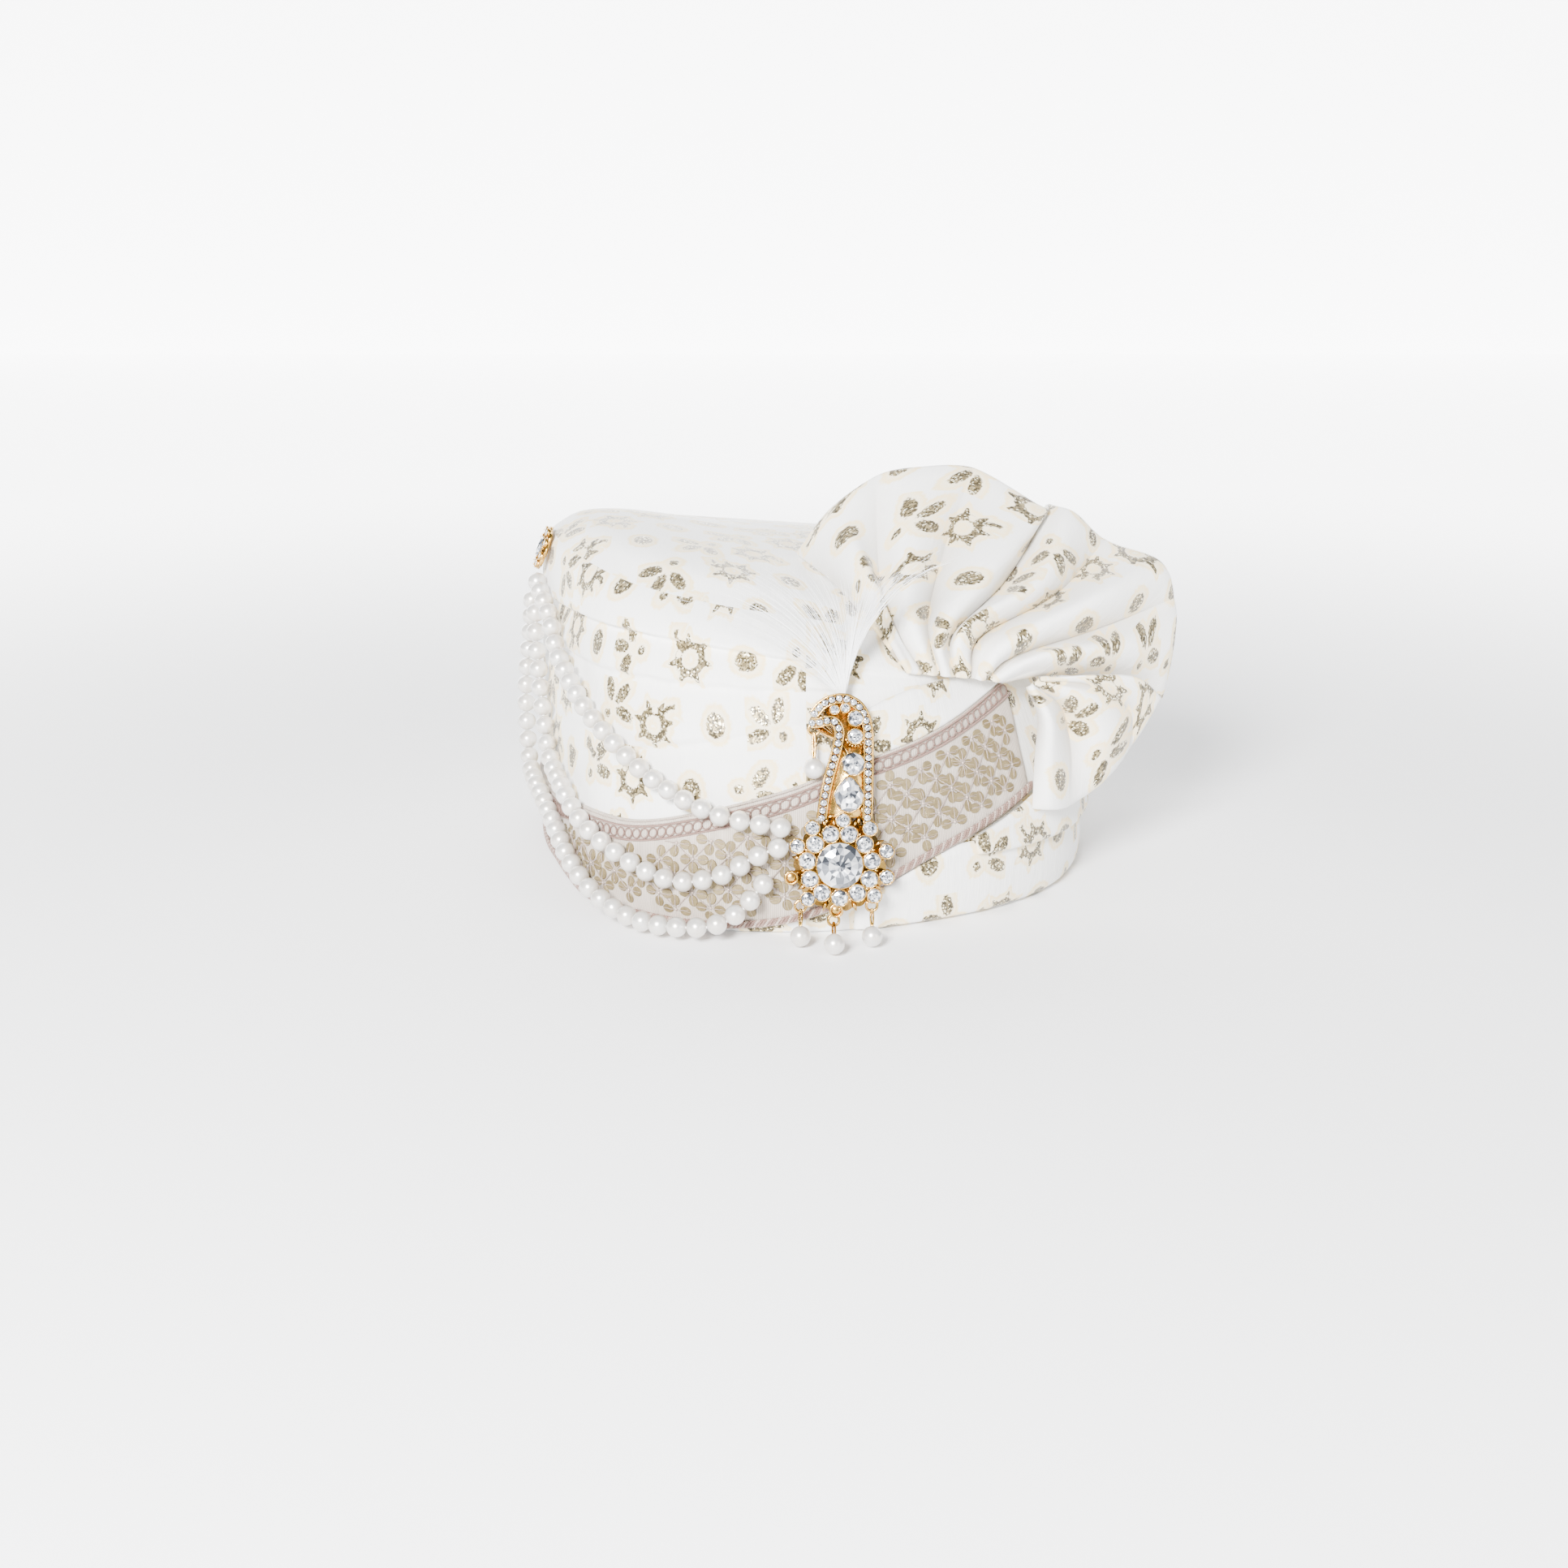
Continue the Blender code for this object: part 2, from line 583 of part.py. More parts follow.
def build_layers():
    """Smooth layers under the pinch and round the lower right side."""
    under_band = BRAID_LOW_HALF[0] + 2 * BRAID_GAP
    above_band = BRAID_HIGH_HALF[0] + 2 * BRAID_GAP

    def below_band(azimuth):
        end = BAND[-1][0] - 360
        return band_low(min(azimuth, end)) - under_band - max(0, azimuth - end) * UPPER_WRAP_FALL

    def upper_top(azimuth):
        return max(below_band(azimuth), (UPPER_WRAP_FOOT + UPPER_WRAP_LEAST) * CROWN_HEIGHT)

    def lower_top(azimuth):
        rise = UPPER_WRAP_FOOT + LOWER_WRAP_LAP + LOWER_WRAP_RISE * math.sin(math.radians(azimuth))
        return min(below_band(min(azimuth, 60)), rise * CROWN_HEIGHT)

    def upper_foot(azimuth):
        away = (azimuth - UPPER_WRAP_SPAN[0]) / (UPPER_WRAP_SPAN[1] - UPPER_WRAP_SPAN[0])
        return (UPPER_WRAP_FOOT - UPPER_WRAP_SAG * math.sin(math.pi * away)) * CROWN_HEIGHT

    def front_top(azimuth):
        away = (azimuth - FRONT_LAYER_SPAN[0]) / (FRONT_LAYER_SPAN[1] - FRONT_LAYER_SPAN[0])
        lift = FRONT_LAYER_LIFT * math.sin(math.pi * away) - FRONT_LAYER_DIP * (1 - away) ** 6
        return (PINCH_RIGHT[2] + lift) * CROWN_HEIGHT

    layer(
        "lower_wrap",
        "velvet_white",
        LOWER_WRAP_SPAN,
        lambda a: LOWER_WRAP_FOOT,
        lower_top,
        SEAT,
        LAYER_THICK,
        4,
    )
    layer(
        "upper_wrap",
        "velvet_white",
        UPPER_WRAP_SPAN,
        upper_foot,
        upper_top,
        2 * SEAT + LAYER_THICK,
        LAYER_THICK,
        3,
    )
    layer(
        "front_layer",
        "velvet_white",
        FRONT_LAYER_SPAN,
        lambda a: band_high(a) + above_band,
        front_top,
        SEAT,
        LAYER_THICK,
        4,
    )


def pleated(name, ribs, left, right, rows, depth):
    """Pleated cloth: the ribs' stations joined smoothly along and across, with crests and valleys in turn."""
    left, right = spot(left), spot(right)
    last = len(ribs) - 1
    lines = []
    for k, rib in enumerate(ribs):
        root = left + (right - left) * k / last
        root[1] -= depth if k % 2 else -depth
        lines.append(np.vstack([root, spot(rib)]))
    grid = []
    for j in range(rows):
        stations = np.array([through(line, 3 * j / (rows - 1)) for line in lines])
        grid.append([through(stations, i / FAN_SUB) for i in range(last * FAN_SUB + 1)])
    grid = np.array(grid)
    half = np.array((0, FAN_THICK / 2, 0))
    return sheet(name, "velvet_white", grid - half, grid + half)


def build_strands():
    """Strings of pearls, each one body: a tube that swells at every bead and narrows between them."""
    profile = ((0.27, 0.94), (0.73, 0.94))
    for name, stations in STRANDS.items():
        count = len(stations) - 1
        fine = [through(stations, count * i / 400) for i in range(401)]
        path = np.array([wall(a, z * CROWN_HEIGHT, off * PEARL) for a, z, off in fine])
        knots = evenly(path, PEARL_PITCH)
        points, halves = [knots[0]], [(PEARL_NECK, PEARL_NECK)]
        for start, end in zip(knots, knots[1:]):
            for along, share in profile:
                points.append(start + (end - start) * (0.5 + (along - 0.5) * PEARL / PEARL_PITCH))
                halves.append((share * PEARL / 2, share * PEARL / 2))
            points.append(end)
            halves.append((PEARL_NECK, PEARL_NECK))
        outward = np.array([(p[0], p[1], 0.3 * PEARL) for p in points])
        bm = bmesh.new()
        swept(bm, np.array(points), halves, PEARL_SIDES, outward)
        finish(bm, name, "pearl")


def brooch_frame():
    """Axes and origin of the front brooch's plane, in millimetres."""
    lean = math.radians(BROOCH_LEAN)
    up = Vector((0, math.sin(lean), math.cos(lean)))
    out = Vector((0, -math.cos(lean), math.sin(lean)))
    return Vector((1, 0, 0)), up, out, Vector(spot(BROOCH_FOOT))


def side_frame():
    """The same for the side brooch, whose plane faces away from the crown."""
    tilt, azimuth = math.radians(SIDE_TILT), math.radians(SIDE_AZIMUTH)
    level = Vector((math.sin(azimuth), -math.cos(azimuth), 0))
    out = level * math.cos(tilt) + Vector((0, 0, math.sin(tilt)))
    across = Vector((0, 0, 1)).cross(level)
    return across, out.cross(across), out, Vector(wall(SIDE_AZIMUTH, SIDE_HEIGHT * CROWN_HEIGHT, SIDE_SEAT))


FLAT_FRAME = (Vector((1, 0, 0)), Vector((0, 1, 0)), Vector((0, 0, 1)), Vector((0, 0, 0)))


def set_in(made, frame):
    """Moves an object that was built in the flat frame to a brooch's place."""
    across, up, out, origin = frame
    turn = Matrix((across, up, out)).transposed().to_4x4()
    made.data.transform(Matrix.Translation(origin * MM) @ turn)


def placed(frame, u, v, w=0.0):
    across, up, out, origin = frame
    return origin + across * u + up * v + out * w


def prism(frame, outline, low, high, shrink=1.0):
    """Bmesh of an outline in a brooch's plane, raised from low to high; the upper end may shrink to its middle."""
    bm = bmesh.new()
    middle = np.mean(outline, axis=0)
    rings = []
    for w, share in ((low, 1.0), (high, shrink)):
        points = [middle + (np.array(p) - middle) * share for p in outline]
        rings.append([bm.verts.new(placed(frame, p[0], p[1], w)) for p in points])
    ring_faces(bm, rings[0], rings[1])
    bm.faces.new(rings[0][::-1])
    bm.faces.new(rings[1])
    return bm


def round_outline(u, v, width, sides):
    return [
        (u + width / 2 * math.cos(2 * math.pi * (k + 0.5) / sides), v + width / 2 * math.sin(2 * math.pi * (k + 0.5) / sides))
        for k in range(sides)
    ]


def pear_outline(u, v, width, height):
    """Pear shape with its point up."""
    points = []
    for k in range(PEAR_SIDES):
        angle = 2 * math.pi * k / PEAR_SIDES - math.pi / 2
        slim = 1 - 0.42 * max(0, math.sin(angle))
        points.append((u + width / 2 * math.cos(angle) * slim, v + height / 2 * math.sin(angle)))
    return points


def cut_stone(frame, name, outline, base):
    """Stone with a flat table above its girdle and a narrower back below it."""
    outline = np.array(outline)
    middle = outline.mean(axis=0)
    size = float(np.linalg.norm(outline - middle, axis=1).max())
    bm = bmesh.new()
    rings = []
    for share, w in ((0.62, 0.0), (1.0, 0.24), (0.6, 0.56)):
        points = middle + (outline - middle) * share
        rings.append([bm.verts.new(placed(frame, p[0], p[1], base + w * size)) for p in points])
    for first, second in zip(rings, rings[1:]):
        ring_faces(bm, first, second)
    bm.faces.new(rings[0][::-1])
    bm.faces.new(rings[-1])
    finish(bm, name, "crystal", smooth=False)


def eyelet(centre, normal, radius, wire):
    """Wire ring round a centre, its hole facing along normal."""
    bm = bmesh.new()
    turn = Vector((0, 0, 1)).rotation_difference(normal)
    around, rings = 10, []
    for i in range(around):
        a = 2 * math.pi * i / around
        ring = []
        for k in range(WIRE_SIDES):
            b = 2 * math.pi * k / WIRE_SIDES
            reach = radius + wire * math.cos(b)
            ring.append(bm.verts.new(turn @ Vector((reach * math.cos(a), reach * math.sin(a), wire * math.sin(b))) + centre))
        rings.append(ring)
    for first, second in zip(rings, rings[1:] + rings[:1]):
        ring_faces(bm, first, second)
    return bm


def flower_centre():
    return 0.0, FLOWER_RADIUS - FLOWER_DIP


def hook_centre():
    return HOOK_MIDDLE, BROOCH_HEIGHT - HOOK_RADIUS


def round_about(centre, radius, angle, reach):
    """Place at an angle and a share of a radius from a centre in the brooch's plane."""
    a = math.radians(angle)
    return centre[0] + radius * reach * math.cos(a), centre[1] + radius * reach * math.sin(a)


def up_shaft(u, v):
    """Place and scale on the shaft, whose length runs from the flower's top to the hook's."""
    top = 2 * FLOWER_RADIUS - FLOWER_DIP
    length = BROOCH_HEIGHT - top
    return u * length, top + v * length, length


def shaft_outline():
    """Shaft that narrows upwards into a hook curling to the left."""
    u, v = hook_centre()
    hole_u, hole_v, hole = (share * HOOK_RADIUS for share in HOOK_HOLE)
    arc = [math.radians(HOOK_TURN) * k / HOOK_SIDES for k in range(HOOK_SIDES + 1)]
    outer = [(u + HOOK_RADIUS * math.cos(a), v + HOOK_RADIUS * math.sin(a)) for a in arc]
    inner = [(u + hole_u + hole * math.cos(a), v + hole_v + hole * math.sin(a)) for a in arc[::-2]]
    foot_u, foot_v, _ = up_shaft(*SHAFT_FOOT)
    return [(foot_u + SHAFT_HALF_FOOT, foot_v), *outer, *inner, (foot_u - SHAFT_HALF_FOOT, foot_v)]


def pave_paths():
    """Lines of small stones: one round the hook's outside and down the right edge, one down the shaft's left edge."""
    centre = hook_centre()
    foot_u, foot_v, _ = up_shaft(*SHAFT_FOOT)
    right = [(foot_u + SHAFT_HALF_FOOT - PAVE_INSET, foot_v + 2 * PAVE_INSET)]
    right += [round_about(centre, HOOK_RADIUS - PAVE_INSET, 15 * k, 1) for k in range(13)]
    left = [(foot_u - SHAFT_HALF_FOOT + PAVE_INSET + PLATE_THICK / 2, foot_v + 2 * PAVE_INSET)]
    left += [(centre[0] + PAVE_INSET, centre[1] - 2 * PAVE_INSET)]
    return right, left


def brooch_stones():
    """Name, outline and the rim that the cup leaves of every larger stone on the front brooch."""
    flower = flower_centre()
    found = [("stone_centre", round_outline(*flower, CENTRE_STONE, CENTRE_SIDES))]
    for name, u, v, width in SHAFT_STONES:
        u, v, length = up_shaft(u, v)
        found.append((name, round_outline(u, v, width * length, CUP_SIDES)))
    for name, angle, reach, width in HOOK_STONES:
        place = round_about(hook_centre(), HOOK_RADIUS, angle, reach)
        found.append((name, round_outline(*place, width * HOOK_RADIUS, CUP_SIDES)))
    ring_reach = (CENTRE_STONE + RING_STONE) / 2 + CUP_GAP
    for k in range(RING_STONES):
        angle = 90 + 360 * (k + 0.5) / RING_STONES
        place = round_about(flower, ring_reach, angle, 1)
        found.append((f"stone_ring_{k + 1}", round_outline(*place, RING_STONE, CUP_SIDES)))
    for k, (angle, reach) in enumerate(OUTER_STONES):
        place = round_about(flower, FLOWER_RADIUS, angle, reach)
        found.append((f"stone_outer_{k + 1}", round_outline(*place, OUTER_STONE, CUP_SIDES)))
    u, v, length = up_shaft(*PEAR[:2])
    found.append(("stone_pear", pear_outline(u, v, PEAR[2] * length, PEAR[3] * length)))
    return found


def build_brooch():
    """Gold brooch with its small stones fused in, and each larger stone as its own piece."""
    frame = brooch_frame()
    rise = PLATE_THICK + CUP_RISE
    flower = flower_centre()
    plate = finish(prism(FLAT_FRAME, round_outline(*flower, 2 * FLOWER_RADIUS, FLOWER_SIDES), 0, PLATE_THICK), "brooch", "gold")
    parts = [finish(prism(FLAT_FRAME, shaft_outline(), 0.1, PLATE_THICK + 0.1), "shaft", "gold")]
    for name, outline in brooch_stones():
        width = np.ptp(np.array(outline)[:, 0])
        cup = prism(FLAT_FRAME, outline, 0.3, rise, 1 - 2 * CUP_RIM / width)
        parts.append(finish(cup, "cup", "gold"))
        cut_stone(frame, name, outline, rise + STONE_GAP)
    for angle, reach in EMPTY_CUPS:
        place = round_about(flower, FLOWER_RADIUS, angle, reach)
        cup = prism(FLAT_FRAME, round_outline(*place, EMPTY_CUP, CUP_SIDES), 0.3, rise, 1.1)
        parts.append(finish(cup, "cup", "gold"))
    for path in pave_paths():
        fine = np.array([placed(FLAT_FRAME, *through(path, (len(path) - 1) * i / 200), PLATE_THICK + 0.4) for i in range(201)])
        knots = evenly(fine, PAVE_PITCH)
        neck = (PAVE_STONE * PAVE_NECK, PAVE_STONE * PAVE_NECK)
        points, halves = [knots[0]], [neck]
        for start, end in zip(knots, knots[1:]):
            points += [(start + end) / 2, end]
            halves += [(PAVE_STONE / 2, PAVE_STONE / 2), neck]
        bm = bmesh.new()
        swept(bm, np.array(points), halves, WIRE_SIDES, np.array([tuple(FLAT_FRAME[2])] * len(points)))
        parts.append(finish(bm, "pave", "gold"))
    held = [(*drop, flower, FLOWER_RADIUS) for drop in FLOWER_DROPS]
    held += [(*drop, hook_centre(), HOOK_RADIUS) for drop in HOOK_DROPS]
    for name, angle, reach, length, about, radius in held:
        place = (*round_about(about, radius, angle, reach), PLATE_THICK / 2)
        parts.append(finish(eyelet(placed(FLAT_FRAME, *place), FLAT_FRAME[2], EYELET, EYELET_WIRE), "eyelet", "gold"))
        centre = placed(frame, *place)
        fall = min(length * math.cos(math.radians(DROP_LEAN)), centre.z - PEARL / 2 - REST_GAP)
        pearl = centre - Vector((0, math.sqrt(length**2 - fall**2), fall))
        build_drop(name, centre - frame[1] * EYELET, pearl)
    set_in(union(plate, parts), frame)


def build_drop(name, held, pearl):
    """Link round an eyelet's lowest wire, stem and pearl as one piece."""
    down = (pearl - held).normalized()
    middle = held + down * LINK_HANG
    side = down.cross(Vector((1, 0, 0))).normalized()
    link_normal = down.cross(side).normalized()
    link = finish(eyelet(middle, link_normal, LINK, LINK_WIRE), name, "pearl")
    start = middle + down * (LINK - 0.1)
    bm = bmesh.new()
    swept(bm, np.array([tuple(start), tuple(pearl)]), [(STEM, STEM)] * 2, WIRE_SIDES, np.array([tuple(side)] * 2))
    stem = finish(bm, "stem", "pearl")
    bm = bmesh.new()
    bmesh.ops.create_uvsphere(bm, u_segments=10, v_segments=6, radius=PEARL / 2)
    turn = Vector((0, 0, 1)).rotation_difference(down).to_matrix().to_4x4()
    bmesh.ops.transform(bm, matrix=Matrix.Translation(pearl) @ turn, verts=bm.verts)
    bead = finish(bm, "bead", "pearl")
    union(link, [stem, bead])


def build_side_brooch():
    """Round brooch on the temple that holds the strands' upper ends."""
    frame = side_frame()
    rise = PLATE_THICK + CUP_RISE
    plate = finish(prism(FLAT_FRAME, round_outline(0, 0, 2 * SIDE_RADIUS, 16), 0, PLATE_THICK), "side_brooch", "gold")
    parts = [finish(prism(FLAT_FRAME, round_outline(0, 0, SIDE_STONE, 10), 0.3, rise, 0.94), "cup", "gold")]
    cut_stone(frame, "side_stone_centre", round_outline(0, 0, SIDE_STONE, 10), rise + STONE_GAP)
    for k in range(SIDE_RING_STONES):
        angle = 2 * math.pi * (k + 0.5) / SIDE_RING_STONES
        reach = SIDE_RADIUS - SIDE_RING_STONE / 2 - CUP_RIM
        outline = round_outline(reach * math.cos(angle), reach * math.sin(angle), SIDE_RING_STONE, CUP_SIDES)
        parts.append(finish(prism(FLAT_FRAME, outline, 0.3, rise + 0.8, 0.6), "cup", "gold"))
    set_in(union(plate, parts), frame)


def build_plume():
    """Feather plume: strips of barbs that fan out from a small head behind the brooch's hook."""
    root = np.array(placed(brooch_frame(), *PLUME_SEAT, -PLUME_HEAD - STONE_GAP))
    bm = bmesh.new()
    bmesh.ops.create_icosphere(bm, subdivisions=1, radius=PLUME_HEAD)
    bmesh.ops.translate(bm, vec=root, verts=bm.verts)
    head = finish(bm, "plume", "feather_white")
    strips = []
    for k, (*places, share) in enumerate(PLUME_STRIPS):
        bend, tip = spot(places)
        width = share * PLUME_STRIP
        shares = [j / (PLUME_ROWS - 1) for j in range(PLUME_ROWS)]
        path = np.array([(1 - s) ** 2 * root + 2 * s * (1 - s) * bend + s**2 * tip for s in shares])
        halves = [(width / 2 * (1 - 0.8 * s), PLUME_THICK / 2 * (1 - 0.5 * s)) for s in shares]
        bm = bmesh.new()
        swept(bm, path, halves, 4, np.array([(0.0, -1.0, 0.3)] * PLUME_ROWS))
        strips.append(finish(bm, f"strip_{k}", "feather_white"))
    union(head, strips)


def centre_footprint():
    """Moves everything level, so that the origin is under the middle of the whole turban's box."""
    made = list(bpy.context.scene.collection.objects)
    places = np.array([tuple(vert.co) for one in made for vert in one.data.vertices])
    middle = (places.min(axis=0) + places.max(axis=0)) / 2
    for one in made:
        one.data.transform(Matrix.Translation((-middle[0], -middle[1], 0)))


for startup in list(bpy.data.objects):
    bpy.data.objects.remove(startup)

build_crown()
build_band()
build_layers()
pleated("fan", FAN_RIBS, PINCH_LEFT, PINCH_RIGHT, FAN_ROWS, PINCH_DEPTH)
pleated("fan_tail", TAIL_RIBS, TAIL_LEFT, TAIL_RIGHT, TAIL_ROWS, PINCH_DEPTH)
build_strands()
build_brooch()
build_side_brooch()
build_plume()
centre_footprint()
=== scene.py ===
"""Looks of a tied wedding turban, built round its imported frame: velvet, band, pearls, jewels and plume."""

import math
import random
from functools import lru_cache

import bmesh
import bpy
import numpy as np
from mathutils import Matrix, Vector


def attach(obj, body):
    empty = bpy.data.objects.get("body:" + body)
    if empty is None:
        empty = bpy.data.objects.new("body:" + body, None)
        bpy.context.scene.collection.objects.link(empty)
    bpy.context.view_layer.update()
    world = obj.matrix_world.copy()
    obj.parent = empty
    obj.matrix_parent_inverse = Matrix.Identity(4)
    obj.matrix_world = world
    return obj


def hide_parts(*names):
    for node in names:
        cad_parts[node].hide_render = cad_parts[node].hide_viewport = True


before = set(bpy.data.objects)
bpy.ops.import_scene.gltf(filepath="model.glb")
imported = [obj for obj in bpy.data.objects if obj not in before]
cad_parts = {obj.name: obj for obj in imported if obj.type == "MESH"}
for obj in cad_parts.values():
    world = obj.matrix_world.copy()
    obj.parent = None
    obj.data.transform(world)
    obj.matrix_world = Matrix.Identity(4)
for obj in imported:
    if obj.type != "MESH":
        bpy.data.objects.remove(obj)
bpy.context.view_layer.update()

# Crown: about five metres of white velvet wound round a padded form, with a crisp upper corner, the
# lapped edges of its turns and an open hollow for the head. The velvet is printed with glitter glued on
# in dots, petals and spiky paisley rings, whose glue leaves a cream halo.
MM = 0.001
AXIS = Vector((-0.0130035, 0.0106205, 0))
CROWN_RADIUS = 120.0
CROWN_HEIGHT = 129.0
DECK_SHARE = 0.76
SECTION_COLUMNS = (
    *("azimuth", "foot", "belly", "belly_z", "wall", "wall_z"),
    *("brow", "brow_z", "edge", "edge_z", "deck_z"),
)
SECTIONS = (
    (0, 1.033, 1.058, 0.124, 1.017, 0.426, 0.925, 0.744, 0.758, 0.884, 0.938),
    (20, 1.008, 1.033, 0.14, 0.992, 0.403, 0.9, 0.698, 0.733, 0.829, 0.907),
    (35, 1.008, 1.033, 0.155, 0.975, 0.403, 0.867, 0.659, 0.7, 0.822, 0.915),
    (52, 1.0, 1.017, 0.155, 0.958, 0.419, 0.858, 0.667, 0.708, 0.822, 0.915),
    (66, 0.975, 0.983, 0.171, 0.942, 0.434, 0.858, 0.682, 0.725, 0.837, 0.922),
    (90, 0.942, 0.95, 0.194, 0.917, 0.465, 0.867, 0.713, 0.742, 0.868, 0.938),
    (135, 0.992, 1.017, 0.217, 0.975, 0.512, 0.917, 0.76, 0.783, 0.891, 0.938),
    (180, 1.042, 1.067, 0.233, 1.033, 0.543, 0.967, 0.775, 0.817, 0.899, 0.938),
    (225, 0.983, 1.008, 0.233, 0.975, 0.558, 0.933, 0.837, 0.825, 0.953, 0.992),
    (270, 0.9, 0.917, 0.233, 0.908, 0.589, 0.892, 0.915, 0.833, 1.031, 1.07),
    (292, 0.892, 0.908, 0.202, 0.9, 0.574, 0.875, 0.899, 0.825, 1.016, 1.062),
    (305, 0.933, 0.95, 0.186, 0.925, 0.543, 0.892, 0.868, 0.817, 0.992, 1.047),
    (320, 1.017, 1.042, 0.155, 0.992, 0.481, 0.933, 0.822, 0.817, 0.961, 1.023),
    (340, 1.05, 1.075, 0.132, 1.025, 0.45, 0.942, 0.783, 0.792, 0.922, 0.984),
)
HEAD = (82.0, 99.0, 106.0)
RIM_LIP = 4.0
CROWN_COLUMNS = 270
HOLLOW_ROWS = 10
WALL_ROWS = 120
TOP_ROWS = 26
PRINT_CELL = 23.0
PRINT_JITTER = 0.14
# Glitter flecks: gold is their own colour, and the spread of their tones from near black to pale gold is a
# painted glint, each fleck taking one at random.
GLITTER_GLINT_STOPS = (
    (0.0, (0.04, 0.03, 0.012, 1)),
    (0.34, (0.15, 0.115, 0.055, 1)),
    (0.66, (0.33, 0.265, 0.135, 1)),
    (0.88, (0.9, 0.83, 0.62, 1)),
)
# Lapped edges of the turns: below each line the cloth lies a step deeper and comes back over the fade.
LAP_COLUMNS = ("azimuth_0", "z_0", "azimuth_1", "z_1", "lift", "step", "fade")
LAPS = (
    (278, 0.82, 383, 0.70, 0.055, 4.2, 9.0),
    (284, 0.70, 379, 0.672, 0.012, 3.0, 8.0),
    (300, 0.40, 376, 0.655, 0.0, 2.4, 8.0),
    (268, 0.50, 345, 0.545, -0.02, 0.9, 7.0),
    (60, 0.60, 205, 0.70, 0.03, 1.6, 9.0),
    (96, 0.38, 262, 0.50, 0.02, 1.6, 9.0),
    (80, 0.47, 240, 0.56, 0.01, 1.2, 8.0),
    (140, 0.82, 300, 0.84, 0.03, 1.4, 9.0),
    (150, 0.24, 285, 0.34, 0.02, 1.2, 8.0),
    (40, 0.62, 110, 0.55, -0.02, 1.3, 9.0),
)
# Soft dents across the turns: place, half sizes and depth.
DENT_COLUMNS = ("azimuth", "z", "wide", "high", "depth")
DENTS = (
    (300, 0.62, 16, 0.10, 1.2),
    (330, 0.66, 14, 0.05, 1.0),
    (318, 0.50, 20, 0.05, 0.8),
    (352, 0.62, 9, 0.05, 1.0),
    (110, 0.50, 18, 0.12, 1.6),
    (170, 0.62, 22, 0.08, 1.4),
    (235, 0.58, 20, 0.10, 1.6),
    (200, 0.34, 24, 0.07, 1.2),
)


def through(points, place):
    """Point at a place from 0 to len - 1 on the smooth curve through all the points."""
    points = np.asarray(points, float)
    last = len(points) - 1
    i = min(int(place), last - 1)
    before = points[i - 1] if i else 2 * points[0] - points[1]
    after = points[i + 2] if i + 2 <= last else 2 * points[last] - points[last - 1]
    s = place - i
    rise, fall = (points[i + 1] - before) / 2, (after - points[i]) / 2
    return (
        (2 * s**3 - 3 * s**2 + 1) * points[i]
        + (s**3 - 2 * s**2 + s) * rise
        + (-2 * s**3 + 3 * s**2) * points[i + 1]
        + (s**3 - s**2) * fall
    )


def by_azimuth(table, azimuth, whole_turn):
    """Row of a table interpolated at an azimuth; a whole_turn table closes on itself."""
    rows = np.asarray(table, float)
    if whole_turn:
        azimuth %= 360
        turn = np.zeros(rows.shape[1])
        turn[0] = 360
        rows = np.vstack([rows[-1] - turn, rows, rows[0] + turn, rows[1] + turn])
    return through(rows[:, 1:], np.interp(azimuth, rows[:, 0], np.arange(len(rows))))


@lru_cache(maxsize=None)
def section(azimuth):
    """Stations (radius, height) of the crown's wall and top, from the foot to the axis."""
    row = by_azimuth(SECTIONS, azimuth, True)
    foot, belly, belly_z, wall_r, wall_z, brow, brow_z, edge, edge_z, deck_z = row
    deck = edge * DECK_SHARE
    stations = ((foot, 0), (belly, belly_z), (wall_r, wall_z), (brow, brow_z), (edge, edge_z), (deck, deck_z))
    return np.array((*stations, (0, 1), (-deck, deck_z))) * (CROWN_RADIUS, CROWN_HEIGHT)


@lru_cache(maxsize=None)
def wall_line(azimuth):
    return np.array([through(section(azimuth), i / 16) for i in range(65)])


def turned(azimuth, radius, z):
    a = math.radians(azimuth)
    return np.array((radius * math.sin(a), -radius * math.cos(a), z))


def wall(azimuth, z, off=0.0):
    """Point of the crown's wall at a height, moved outwards by off along the wall's normal."""
    line = wall_line(round(azimuth, 3))
    radius, above, below = np.interp((z, z + 2, z - 2), line[:, 1], line[:, 0])
    slope = (above - below) / 4
    length = math.hypot(1, slope)
    return turned(azimuth, radius + off / length, z - off * slope / length)


def pressed(azimuth, z):
    """How far laps and dents press a point of the crown in."""
    deep = 0.0
    for start, z_0, end, z_1, lift, step, fade in LAPS:
        along = ((azimuth - start) % 360) / (end - start)
        if along < 1:
            below = (z_0 + (z_1 - z_0) * along + lift * math.sin(math.pi * along)) * CROWN_HEIGHT - z
            ease = min(1, along / 0.15, (1 - along) / 0.15)
            deep += step * ease * (math.exp(-below / fade) if below > 0 else math.exp(below / 0.5))
    for middle, height, wide, high, depth in DENTS:
        away = ((azimuth - middle + 180) % 360 - 180) / wide
        deep += depth * math.exp(-(away**2) - ((z / CROWN_HEIGHT - height) / high) ** 2)
    return deep


